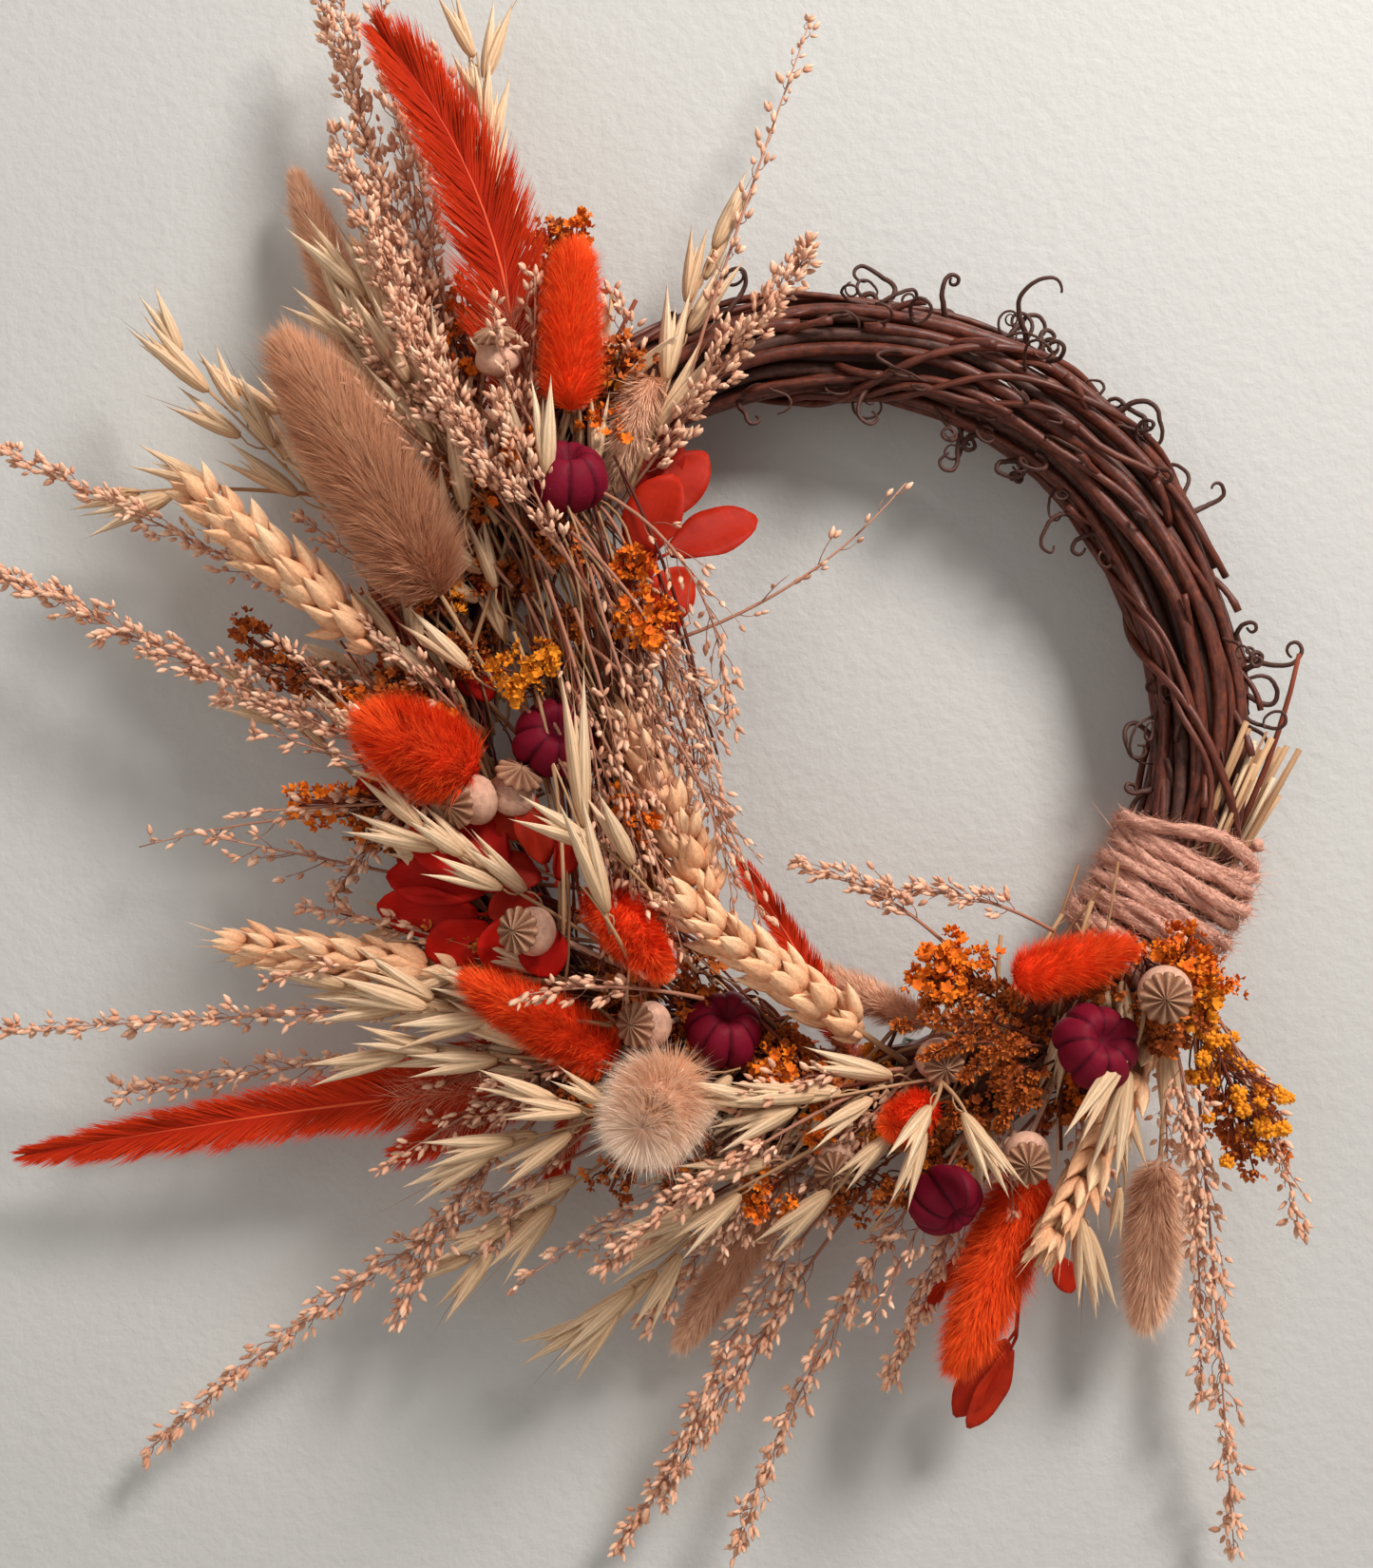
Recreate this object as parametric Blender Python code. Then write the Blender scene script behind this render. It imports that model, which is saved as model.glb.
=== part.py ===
"""Harvest door wreath: dried grasses, pods and feathers dressed on a ring of wound vine.

The ring stands in the XZ plane and its face looks along -Y, away from the door. The origin
is the hang point: the inside of the ring's top, in the middle of the vine bundle, where a
hook or a nail carries the wreath.
"""

import math

import bmesh
import bpy
import numpy as np
from mathutils import Vector

MM = 0.001

# The vine ring
RING_RADIUS = 0.1115  # centre of the wreath to the middle of the vine bundle
CANE_RADIUS = 0.0027
CANE_COUNT = 5  # each cane is wound round the ring twice
CANE_TURNS = 2
CANE_GAP = 0.0017  # between neighbouring canes in the bundle
CANE_WAVE = 0.0006
CORE_GAP = 0.0007  # between the core and the canes round it
POINTS_PER_TURN = 28
END_GAP = math.radians(9)  # between a cane's cut end and where it began
DOOR_CLEARANCE = 0.0015

# What is wound round the ring
CLEARANCE = 0.0005
BINDING_CANE_RADIUS = 0.0016
BINDING_CANE_TURNS = 5
WIRE_RADIUS = 0.0006
WIRE_TURNS = 9
YARN_RADIUS = 0.0024
YARN_TURNS = 9
YARN_CLOCK = math.radians(334)
POINTS_PER_WINDING = 10
WINDING_GAP = math.radians(4)  # between one winding and the next along the ring

# The plants
PLANT_CLEARANCE = 0.0009
STEM_RADIUS = 0.0008
TIP_RADIUS = 0.0005
PLANT_BOW = 0.004
BUNNY_TAIL_SLENDERNESS = 2.5  # length of a head over its width
EAR_LENGTH = 0.078
POD_SEGMENTS = 16
POD_LOBES = 8
POD_FLATNESS = 0.82
LEAF_FLATNESS = 0.3
FRONT_LIMIT = 0.088  # nothing stands further from the door

# Middle of the bundle to the middle of an outer cane
CANE_LAY_RADIUS = (CANE_RADIUS + CANE_GAP / 2) / math.sin(math.pi / (CANE_COUNT * CANE_TURNS))
CORE_RADIUS = CANE_LAY_RADIUS - CANE_WAVE - CANE_RADIUS - CORE_GAP
BUNDLE_RADIUS = CANE_LAY_RADIUS + CANE_WAVE + CANE_RADIUS


def winding_out(radius):
    """How far out a winding's corners lie, so that its straight lengths clear the bundle."""
    return (BUNDLE_RADIUS + CLEARANCE + radius) / math.cos(math.pi / POINTS_PER_WINDING)


YARN_OUTSIDE = winding_out(YARN_RADIUS) + YARN_RADIUS
WIRE_OUTSIDE = winding_out(WIRE_RADIUS) + WIRE_RADIUS
YARN_PITCH = 2 * YARN_RADIUS + CLEARANCE
YARN_SPAN = YARN_TURNS * YARN_PITCH / RING_RADIUS
BUNDLE_HEIGHT = YARN_OUTSIDE + DOOR_CLEARANCE  # the bundle's middle above the door
CENTRE_Z = -(RING_RADIUS - BUNDLE_RADIUS)  # of the wreath, below the hang point
CENTRE = np.array([0.0, 0.0, CENTRE_Z])
DOOR_Y = BUNDLE_HEIGHT

# Each plant: its name, its kind, where it is tied to the ring (degrees anticlockwise from
# three o'clock, and millimetres outside the middle of the bundle), the way it leans (degrees
# outwards from the clockwise direction), then in millimetres how far it reaches across the
# door, the height of its tip above the door, its width and the height of its foot.
PLANTS = [
    ("orange_bunny_tail_1", "bunny", 131, -8, 52, 54, 50, 21, 36),
    ("orange_bunny_tail_2", "bunny", 187, -14, 60, 30, 72, 34, 40),
    ("orange_bunny_tail_3", "bunny", 216, -30, -170, 28, 74, 19, 44),
    ("orange_bunny_tail_4", "bunny", 239, 0, 0, 50, 62, 21, 42),
    ("orange_bunny_tail_5", "bunny", 323, -2, -45, 38, 56, 19, 38),
    ("orange_bunny_tail_6", "bunny", 295, 28, 42, 60, 45, 25, 36),
    ("natural_bunny_tail_1", "bunny", 153, 8, 51, 120, 16, 18, 18),
    ("natural_bunny_tail_2", "bunny", 176, -20, 35, 112, 60, 34, 40),
    ("natural_bunny_tail_3", "bunny", 131, -16, 22, 30, 44, 17, 36),
    ("natural_bunny_tail_4", "bunny", 247, -5, 70, 15, 82, 32, 40),
    ("natural_bunny_tail_5", "bunny", 293, -14, -46, 55, 30, 14, 38),
    ("natural_bunny_tail_6", "bunny", 318, 18, 40, 87, 26, 21, 26),
    ("wheat_ear_1", "ear", 149, -4, 55, 98, 24, 17, 34),
    ("wheat_ear_2", "ear", 183, -14, 46, 112, 46, 24, 40),
    ("wheat_ear_3", "ear", 225, -7, 38, 100, 42, 20, 40),
    ("wheat_ear_4", "ear", 283, -13, -49, 88, 62, 19, 40),
    ("wheat_ear_5", "ear", 318, 10, 15, 78, 60, 19, 44),
    ("feather_1", "feather", 138, 3, 61, 122, 46, 22, 36),
    ("feather_2", "feather", 235, 6, 45, 168, 22, 20, 30),
    ("feather_3", "feather", 275, -14, -65, 66, 28, 12, 38),
    ("grass_panicle_1", "panicle", 150, -1, 48, 165, 26, 20, 34),
    ("grass_panicle_2", "panicle", 118, -12, 42, 126, 20, 9, 32),
    ("grass_panicle_3", "panicle", 139, -26, 2, 92, 60, 13, 40),
    ("grass_panicle_4", "panicle", 171, -8, 74, 146, 38, 14, 34),
    ("grass_panicle_5", "panicle", 191, -8, 54, 150, 32, 15, 34),
    ("grass_panicle_6", "panicle", 226, -5, 48, 163, 32, 12, 34),
    ("grass_panicle_7", "panicle", 277, 8, 52, 144, 15, 15, 26),
    ("grass_panicle_8", "panicle", 323, 16, 44, 168, 15, 12, 26),
    ("oat_spray_1", "oats", 142, -4, 45, 148, 20, 13, 30),
    ("oat_spray_2", "oats", 169, -14, 57, 140, 35, 18, 34),
    ("oat_spray_3", "oats", 232, -26, 4, 82, 68, 12, 44),
    ("oat_spray_4", "oats", 251, -4, 57, 98, 30, 14, 34),
    ("oat_spray_5", "oats", 302, 2, -26, 93, 66, 14, 44),
    ("mini_pumpkin_1", "pod", 134, -15, 0, 0, 50, 24, 50),
    ("mini_pumpkin_2", "pod", 185, -25, 0, 0, 50, 25, 50),
    ("mini_pumpkin_3", "pod", 250, -15, 0, 0, 46, 24, 46),
    ("mini_pumpkin_4", "pod", 310, 3, 0, 0, 60, 25, 60),
    ("mini_pumpkin_5", "pod", 284, 16, 0, 0, 40, 22, 40),
    ("poppy_head_1", "poppy", 137, 4, 62, 25, 46, 15, 36),
    ("poppy_head_2", "poppy", 230, -22, 17, 27, 62, 16, 46),
    ("poppy_head_3", "poppy", 327, 10, -29, 20, 64, 15, 40),
    ("poppy_head_4", "poppy", 307, 2, 26, 32, 60, 15, 44),
    ("leaf_sprig_1", "leaves", 136, -30, -36, 38, 36, 18, 36),
    ("leaf_sprig_2", "leaves", 213, -11, 48, 42, 30, 18, 36),
    ("leaf_sprig_3", "leaves", 293, 32, 52, 74, 20, 15, 30),
    ("statice_1", "flowers", 145, 6, 52, 60, 34, 16, 34),
    ("statice_2", "flowers", 325, -6, 60, 22, 58, 20, 38),
    ("button_flowers", "flowers", 322, 26, 62, 36, 44, 24, 34),
    ("goldenrod", "flowers", 296, -4, 8, 30, 56, 18, 42),
    ("straw_ends", "straws", 343, 14, 150, 28, 24, 10, 24),
]

# Stations along a head, from its foot (0) to its tip (1), and its girth there.
HEAD_SHAPES = {
    "bunny": [(0.0, 0.45), (0.2, 0.86), (0.5, 1.0), (0.8, 0.72), (1.0, 0.2)],
    "ear": [(0.0, 0.35), (0.12, 0.75), (0.45, 0.85), (0.8, 0.65), (1.0, 0.15)],
    "panicle": [(0.0, 0.2), (0.3, 0.75), (0.6, 0.7), (1.0, 0.15)],
    "oats": [(0.0, 0.25), (0.3, 0.8), (0.65, 0.75), (1.0, 0.15)],
    "feather": [(0.0, 0.3), (0.25, 0.7), (0.6, 0.8), (0.85, 0.6), (1.0, 0.15)],
    "leaves": [(0.0, 0.3), (0.35, 0.9), (0.7, 0.7), (1.0, 0.1)],
    "poppy": [(0.0, 0.3), (0.25, 0.85), (0.5, 1.0), (0.75, 0.7), (0.84, 0.4), (1.0, 0.75)],
    "flowers": [(0.0, 0.3), (0.3, 0.9), (0.7, 1.0), (1.0, 0.5)],
    "straws": [(0.0, 0.7), (1.0, 1.0)],
    "pod": [(0.0, 1.0), (1.0, 1.0)],
}

# How much of a plant's length is its head, where the head has no length of its own.
HEAD_SHARES = {
    "panicle": 0.75,
    "oats": 0.55,
    "feather": 0.85,
    "leaves": 0.8,
    "flowers": 0.65,
    "straws": 1.0,
    "pod": 1.0,
}

COLOURS = {
    "vine": (0.20, 0.085, 0.055, 1.0),
    "yarn": (0.42, 0.22, 0.16, 1.0),
    "wire": (0.30, 0.30, 0.28, 1.0),
    "orange_bunny": (0.82, 0.10, 0.02, 1.0),
    "natural_bunny": (0.60, 0.36, 0.24, 1.0),
    "ear": (0.72, 0.48, 0.27, 1.0),
    "panicle": (0.52, 0.33, 0.23, 1.0),
    "oats": (0.70, 0.55, 0.36, 1.0),
    "feather": (0.58, 0.05, 0.01, 1.0),
    "leaves": (0.45, 0.03, 0.01, 1.0),
    "poppy": (0.45, 0.27, 0.20, 1.0),
    "flowers": (0.75, 0.25, 0.03, 1.0),
    "straws": (0.65, 0.50, 0.30, 1.0),
    "pod": (0.12, 0.01, 0.03, 1.0),
}


def clear_scene():
    for old in list(bpy.data.objects):
        bpy.data.objects.remove(old, do_unlink=True)


def make_material(name, roughness=0.8, metallic=0.0):
    material = bpy.data.materials.new(name)
    material.use_nodes = True
    shader = material.node_tree.nodes["Principled BSDF"]
    shader.inputs["Base Color"].default_value = COLOURS[name]
    shader.inputs["Roughness"].default_value = roughness
    shader.inputs["Metallic"].default_value = metallic
    return material


def tube(collection, name, points, radii, material, profile=None):
    """A closed tube through the points: round, or with the given outline as its section."""
    data = bpy.data.curves.new(name, "CURVE")
    data.dimensions = "3D"
    data.use_fill_caps = True
    if profile:
        data.bevel_mode = "OBJECT"
        data.bevel_object = profile
    else:
        data.bevel_depth = MM
        data.bevel_resolution = 2
    spline = data.splines.new("POLY")
    spline.points.add(len(points) - 1)
    for spot, point, radius in zip(spline.points, points, radii):
        spot.co = (*point, 1.0)
        spot.radius = radius / MM
    data.materials.append(material)
    piece = bpy.data.objects.new(name, data)
    collection.objects.link(piece)
    return piece


def on_bundle(clock, round_angle, out):
    """A point at a distance out from the bundle's middle, at a place round the ring."""
    radius = RING_RADIUS + out * math.cos(round_angle)
    return CENTRE + np.array([
        radius * math.cos(clock),
        -out * math.sin(round_angle),
        radius * math.sin(clock),
    ])


def winding(collection, name, clock_start, clock_end, turns, radius, material):
    """A helix round the bundle, from one place on the ring to another."""
    count = turns * POINTS_PER_WINDING + 1
    points = []
    for step in range(count):
        share = step / (count - 1)
        clock = clock_start + (clock_end - clock_start) * share
        points.append(on_bundle(clock, math.tau * turns * share, winding_out(radius)))
    tube(collection, name, points, [radius] * count, material)


def make_canes(collection, material):
    """Each cane goes twice round, and half round the bundle on each turn, so it lies opposite
    itself and between its neighbours."""
    count = CANE_TURNS * POINTS_PER_TURN
    reach = math.tau * CANE_TURNS - END_GAP
    for number in range(CANE_COUNT):
        start = math.tau * (number + 0.3) / CANE_COUNT
        slot = math.tau * number / (CANE_COUNT * CANE_TURNS)
        points = []
        for step in range(count):
            travel = reach * step / (count - 1)
            wave = CANE_WAVE * math.sin(5 * travel + 2.4 * number)
            place = slot + (travel + start) / CANE_TURNS
            points.append(on_bundle(start + travel, place, CANE_LAY_RADIUS + wave))
        radii = [CANE_RADIUS] * count
        tube(collection, f"vine_cane_{number + 1}", points, radii, material)


def make_core(collection, material):
    count = POINTS_PER_TURN
    reach = math.tau - END_GAP
    points = [on_bundle(1.2 + reach * step / (count - 1), 0, 0) for step in range(count)]
    tube(collection, "core_cane", points, [CORE_RADIUS] * count, material)


def make_windings(collection, materials):
    """The thin cane that ties the bare part of the ring, the yarn, and the florist's wire."""
    first = YARN_CLOCK - YARN_SPAN / 2
    last = YARN_CLOCK + YARN_SPAN / 2
    bare_end = math.radians(470)
    dressed_start = math.radians(120)
    yarn = materials["yarn"]
    winding(collection, "yarn_wrap", first, last, YARN_TURNS, YARN_RADIUS, yarn)
    winding(collection, "binding_cane", last + WINDING_GAP, bare_end, BINDING_CANE_TURNS,
            BINDING_CANE_RADIUS, materials["vine"])
    winding(collection, "florist_wire", dressed_start, first - WINDING_GAP, WIRE_TURNS,
            WIRE_RADIUS, materials["wire"])


def head_length(kind, length, width):
    if kind == "bunny":
        return min(length, BUNNY_TAIL_SLENDERNESS * width)
    if kind == "ear":
        return min(length, EAR_LENGTH)
    if kind == "poppy":
        return min(length, 1.25 * width)
    return length * HEAD_SHARES[kind]


def plant_line(kind, clock, out, lean, reach, height, width, foot):
    """The plant's axis as points from its foot on the ring to its tip, and its girth there."""
    clock = math.radians(clock)
    radius = RING_RADIUS + out * MM
    base = np.array([radius * math.cos(clock), 0.0, CENTRE_Z + radius * math.sin(clock)])
    base[1] = DOOR_Y - foot * MM
    heading = clock - math.pi / 2 + math.radians(lean)
    way = np.array([math.cos(heading), 0.0, math.sin(heading)])
    tip = base + way * reach * MM
    tip[1] = DOOR_Y - height * MM
    if kind == "pod":
        base[1] += 2 * MM
        tip[1] -= 2 * MM
    length = np.linalg.norm(tip - base)
    head = head_length(kind, length, width * MM)
    neck = 1 - head / length
    stations = [(neck + (1 - neck) * share, girth) for share, girth in HEAD_SHAPES[kind]]
    girths = [max(width * MM / 2 * girth, TIP_RADIUS) for share, girth in stations]
    shares = [share for share, girth in stations]
    if neck > 0.12:
        shares = [0.0, neck * 0.55, neck * 0.97] + shares[1:]
        girths = [STEM_RADIUS] * 3 + girths[1:]
    points = [
        base + (tip - base) * share - np.array([0, PLANT_BOW * 4 * share * (1 - share), 0])
        for share in shares
    ]
    return np.array(points), np.array(girths)


def nearest_on_pairs(a0, a1, b0, b1):
    """For pairs of straight lengths, the shares along each where they pass closest."""
    u = a1 - a0
    v = b1 - b0
    w = a0 - b0
    uu = np.maximum((u * u).sum(1), 1e-12)
    vv = np.maximum((v * v).sum(1), 1e-12)
    uv = (u * v).sum(1)
    uw = (u * w).sum(1)
    vw = (v * w).sum(1)
    below = np.maximum(uu * vv - uv * uv, 1e-14)
    s = np.clip((uv * vw - vv * uw) / below, 0, 1)
    t = np.clip((uv * s + vw) / vv, 0, 1)
    s = np.clip((uv * t - uw) / uu, 0, 1)
    return s, t


class Arrangement:
    """All the plants together, moved a little until none touches another, the ring or the
    door. They move mostly away from and towards the door, so the face keeps its layout."""

    def __init__(self, lines):
        self.first = []
        self.lines = lines
        points = []
        girths = []
        segments = []
        owners = []
        for owner, (line, girth) in enumerate(lines):
            begin = len(points)
            self.first.append(begin)
            points.extend(line)
            girths.extend(girth)
            for step in range(len(line) - 1):
                segments.append((begin + step, begin + step + 1))
                owners.append(owner)
        self.points = np.array(points)
        self.start = self.points.copy()
        self.girths = np.array(girths)
        self.segments = np.array(segments)
        owners = np.array(owners)
        one, other = np.triu_indices(len(owners), 1)
        apart = owners[one] != owners[other]
        self.one = one[apart]
        self.other = other[apart]

    def part_pairs(self):
        a = self.segments[self.one]
        b = self.segments[self.other]
        ends = self.points
        s, t = nearest_on_pairs(ends[a[:, 0]], ends[a[:, 1]], ends[b[:, 0]], ends[b[:, 1]])
        here = ends[a[:, 0]] * (1 - s)[:, None] + ends[a[:, 1]] * s[:, None]
        there = ends[b[:, 0]] * (1 - t)[:, None] + ends[b[:, 1]] * t[:, None]
        girth = self.girths[a[:, 0]] * (1 - s) + self.girths[a[:, 1]] * s
        girth += self.girths[b[:, 0]] * (1 - t) + self.girths[b[:, 1]] * t
        between = here - there
        distance = np.linalg.norm(between, axis=1)
        short = girth + PLANT_CLEARANCE - distance
        close = short > 0
        if not close.any():
            return 0.0
        way = between[close] * np.array([0.35, 1.0, 0.35])
        level = np.abs(way[:, 1]) < 1e-4
        way[level, 1] = -1e-4
        way /= np.linalg.norm(way, axis=1)[:, None]
        push = way * (short[close] * 0.55)[:, None]
        move = np.zeros_like(ends)
        for ends_of, share, sign in ((a[close], s[close], 1), (b[close], t[close], -1)):
            for side, weight in ((0, 1 - share), (1, share)):
                scaled = sign * push * (0.35 + 0.65 * weight)[:, None]
                np.add.at(move, ends_of[:, side], scaled)
        longest = np.linalg.norm(move, axis=1)
        limit = np.minimum(1.0, 0.004 / np.maximum(longest, 1e-9))
        self.points += move * limit[:, None]
        return float(short.max())

    def clear_ring(self):
        """Lifts each length off the bundle, what is wound round it and the door."""
        a = self.points[self.segments[:, 0]]
        b = self.points[self.segments[:, 1]]
        near_yarn = YARN_SPAN / 2 + 2 * WINDING_GAP
        for share in (0.0, 0.25, 0.5, 0.75, 1.0):
            spot = a * (1 - share) + b * share - CENTRE
            girth = self.girths[self.segments[:, 0]] * (1 - share)
            girth += self.girths[self.segments[:, 1]] * share
            radial = np.hypot(spot[:, 0], spot[:, 2])
            out = radial - RING_RADIUS
            distance = np.hypot(out, spot[:, 1])
            clock = np.arctan2(spot[:, 2], spot[:, 0]) % math.tau
            at_yarn = np.abs(clock - YARN_CLOCK) < near_yarn
            wrap = np.where(at_yarn, YARN_OUTSIDE, WIRE_OUTSIDE)
            short = wrap + girth + PLANT_CLEARANCE - distance
            close = short > 0
            way = np.stack([
                spot[:, 0] / radial * out,
                spot[:, 1],
                spot[:, 2] / radial * out,
            ], 1) / np.maximum(distance, 1e-6)[:, None]
            way[:, 1] = np.where(np.abs(way[:, 1]) < 0.2, -0.2, way[:, 1])
            lift = way[close] * short[close][:, None] * 0.5
            np.add.at(self.points, self.segments[close, 0], lift)
            np.add.at(self.points, self.segments[close, 1], lift)
        lowest = DOOR_Y - (self.girths + DOOR_CLEARANCE)
        self.points[:, 1] = np.minimum(self.points[:, 1], lowest)
        highest = DOOR_Y + self.girths - FRONT_LIMIT
        self.points[:, 1] = np.maximum(self.points[:, 1], highest)

    def smooth(self, amount):
        """Spreads each move along its plant, so that stems bend and don't kink."""
        moved = self.points - self.start
        for owner, begin in enumerate(self.first):
            count = len(self.lines[owner][0])
            part = moved[begin:begin + count]
            inner = (part[:-2] + part[2:]) / 2
            part[1:-1] += (inner - part[1:-1]) * amount
        self.points = self.start + moved

    def settle(self, rounds=260):
        for turn in range(rounds):
            self.part_pairs()
            if turn < rounds * 0.7:
                self.smooth(0.25)
            self.clear_ring()
        for turn in range(rounds):
            if self.part_pairs() <= PLANT_CLEARANCE * 0.3:
                break
            self.clear_ring()

    def result(self, owner):
        begin = self.first[owner]
        count = len(self.lines[owner][0])
        return self.points[begin:begin + count], self.girths[begin:begin + count]


def make_pod(collection, name, points, width, material):
    """A small squat pumpkin whose ribs run from a dimple in front to one behind."""
    mesh = bpy.data.meshes.new(name)
    shape = bmesh.new()
    bmesh.ops.create_uvsphere(shape, u_segments=POD_SEGMENTS, v_segments=8, radius=1.0)
    for corner in shape.verts:
        turn = math.atan2(corner.co.y, corner.co.x)
        level = math.hypot(corner.co.x, corner.co.y)
        rib = 1 - 0.09 * level * (0.5 + 0.5 * math.cos(POD_LOBES * turn))
        dimple = 1 - 0.35 * max(0.0, 1 - 2.2 * level)
        corner.co = Vector((
            corner.co.x * rib,
            corner.co.z * POD_FLATNESS * dimple,
            -corner.co.y * rib,
        )) * (width / 2)
    shape.to_mesh(mesh)
    shape.free()
    mesh.materials.append(material)
    pod = bpy.data.objects.new(name, mesh)
    pod.location = Vector(points.mean(axis=0))
    collection.objects.link(pod)


def flat_profile(cutters):
    """The thin oval section of a feather or a spray of leaves."""
    data = bpy.data.curves.new("flat_profile", "CURVE")
    data.dimensions = "2D"
    spline = data.splines.new("POLY")
    spline.points.add(7)
    for number, spot in enumerate(spline.points):
        turn = -math.tau * number / 8
        across = MM * math.cos(turn)
        spot.co = (across, LEAF_FLATNESS * MM * math.sin(turn), 0.0, 1.0)
    spline.use_cyclic_u = True
    profile = bpy.data.objects.new("flat_profile", data)
    profile.hide_render = True
    profile.display_type = "WIRE"
    cutters.objects.link(profile)
    return profile


def make_plants(collection, cutters, materials):
    lines = [plant_line(*row[1:]) for row in PLANTS]
    arrangement = Arrangement(lines)
    arrangement.settle()
    profile = flat_profile(cutters)
    for number, row in enumerate(PLANTS):
        name, kind = row[:2]
        colour = name.split("_")[0] + "_bunny" if kind == "bunny" else kind
        points, girths = arrangement.result(number)
        if kind == "pod":
            make_pod(collection, name, points, row[7] * MM, materials[colour])
            continue
        section = profile if kind in ("feather", "leaves") else None
        tube(collection, name, points, girths, materials[colour], section)


def main():
    clear_scene()
    wreath = bpy.data.collections.new("harvest_door_wreath")
    cutters = bpy.data.collections.new("profiles")
    bpy.context.scene.collection.children.link(wreath)
    bpy.context.scene.collection.children.link(cutters)
    cutters.hide_render = True
    materials = {name: make_material(name) for name in COLOURS}
    make_canes(wreath, materials["vine"])
    make_core(wreath, materials["vine"])
    make_windings(wreath, materials)
    make_plants(wreath, cutters, materials)


main()
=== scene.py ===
"""Harvest door wreath: the looks.

Every plant grows along the middle line of the plain solid that stands for it on the packed
wreath. The vine, the binding cane and the yarn are wound round the ring, and a pale door,
soft light and a camera make the stage.
"""

import math

import bpy
import numpy as np
from bpy.props import FloatProperty, FloatVectorProperty, IntProperty, PointerProperty
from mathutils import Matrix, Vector


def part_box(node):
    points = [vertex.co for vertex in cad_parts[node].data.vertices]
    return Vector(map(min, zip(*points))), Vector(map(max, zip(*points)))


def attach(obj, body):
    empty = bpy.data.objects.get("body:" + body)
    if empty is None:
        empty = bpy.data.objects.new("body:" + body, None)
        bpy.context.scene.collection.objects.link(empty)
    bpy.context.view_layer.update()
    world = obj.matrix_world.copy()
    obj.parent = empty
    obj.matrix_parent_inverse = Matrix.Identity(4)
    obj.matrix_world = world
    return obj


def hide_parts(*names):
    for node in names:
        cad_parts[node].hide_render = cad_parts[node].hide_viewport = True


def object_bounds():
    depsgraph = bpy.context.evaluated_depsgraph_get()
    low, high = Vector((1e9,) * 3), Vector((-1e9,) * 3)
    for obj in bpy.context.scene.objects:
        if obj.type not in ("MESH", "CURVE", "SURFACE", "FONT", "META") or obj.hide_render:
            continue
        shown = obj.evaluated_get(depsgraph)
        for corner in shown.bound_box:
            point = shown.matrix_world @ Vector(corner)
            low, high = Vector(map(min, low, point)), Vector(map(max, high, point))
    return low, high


bl_info = {
    "name": "Harvest Door Wreath",
    "version": (1, 0, 0),
    "blender": (4, 5, 0),
    "location": "3D View > Sidebar > Wreath",
    "description": "Grows a harvest wreath of dried plants on a vine ring",
    "category": "Add Mesh",
}

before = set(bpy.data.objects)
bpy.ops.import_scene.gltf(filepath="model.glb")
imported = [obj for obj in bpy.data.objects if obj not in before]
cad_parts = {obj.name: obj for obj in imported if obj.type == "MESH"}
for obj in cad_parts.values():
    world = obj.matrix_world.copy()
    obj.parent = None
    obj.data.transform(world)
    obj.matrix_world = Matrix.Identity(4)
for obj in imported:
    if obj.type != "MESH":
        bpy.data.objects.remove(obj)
CAD_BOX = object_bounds()

MM = 0.001
TAU = math.tau
PATTERN_MAP = "OFBake"  # shade and width across, length along: every plant's pattern is on it
GRAIN_MAP = "Grain"  # turn round and true length along, for vine and yarn
SHADES = 8  # bands across the pattern map, one for each shade
FRONT = np.array([0.0, -1.0, 0.0])


# ---- the ring


def measure_ring():
    """The ring's centre, the radius of its bundle's middle line and the bundle's radius."""
    boxes = [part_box(name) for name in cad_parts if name.startswith("vine_cane_")]
    low = np.min([np.array(box[0]) for box in boxes], axis=0)
    high = np.max([np.array(box[1]) for box in boxes], axis=0)
    bundle = (high[1] - low[1]) / 2
    return (low + high) / 2, (high[0] - low[0]) / 2 - bundle, bundle


CENTRE, RING_RADIUS, BUNDLE_RADIUS = measure_ring()
DOOR_GAP = 1.5 * MM
DOOR_Y = CAD_BOX[1].y + DOOR_GAP
LAST_Y = DOOR_Y - 0.5 * MM  # no plant reaches nearer to the door than this


def on_ring(clock, round_angle, out):
    """Points at places along the ring (clock), round its bundle and out from its middle.
    The angle round the bundle is 0 outside the ring and a quarter turn in front."""
    clock, round_angle, out = np.broadcast_arrays(clock, round_angle, out)
    radius = RING_RADIUS + out * np.cos(round_angle)
    steps = [radius * np.cos(clock), -out * np.sin(round_angle), radius * np.sin(clock)]
    return CENTRE + np.stack(steps, -1)


def face(x, z, height):
    """A point in millimetres right of and above the ring's centre, and off the door."""
    return np.array([CENTRE[0] + x * MM, DOOR_Y - height * MM, CENTRE[2] + z * MM])


# ---- lines


def unit(ways):
    ways = np.asarray(ways, float)
    return ways / np.maximum(np.linalg.norm(ways, axis=-1, keepdims=True), 1e-9)


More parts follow.
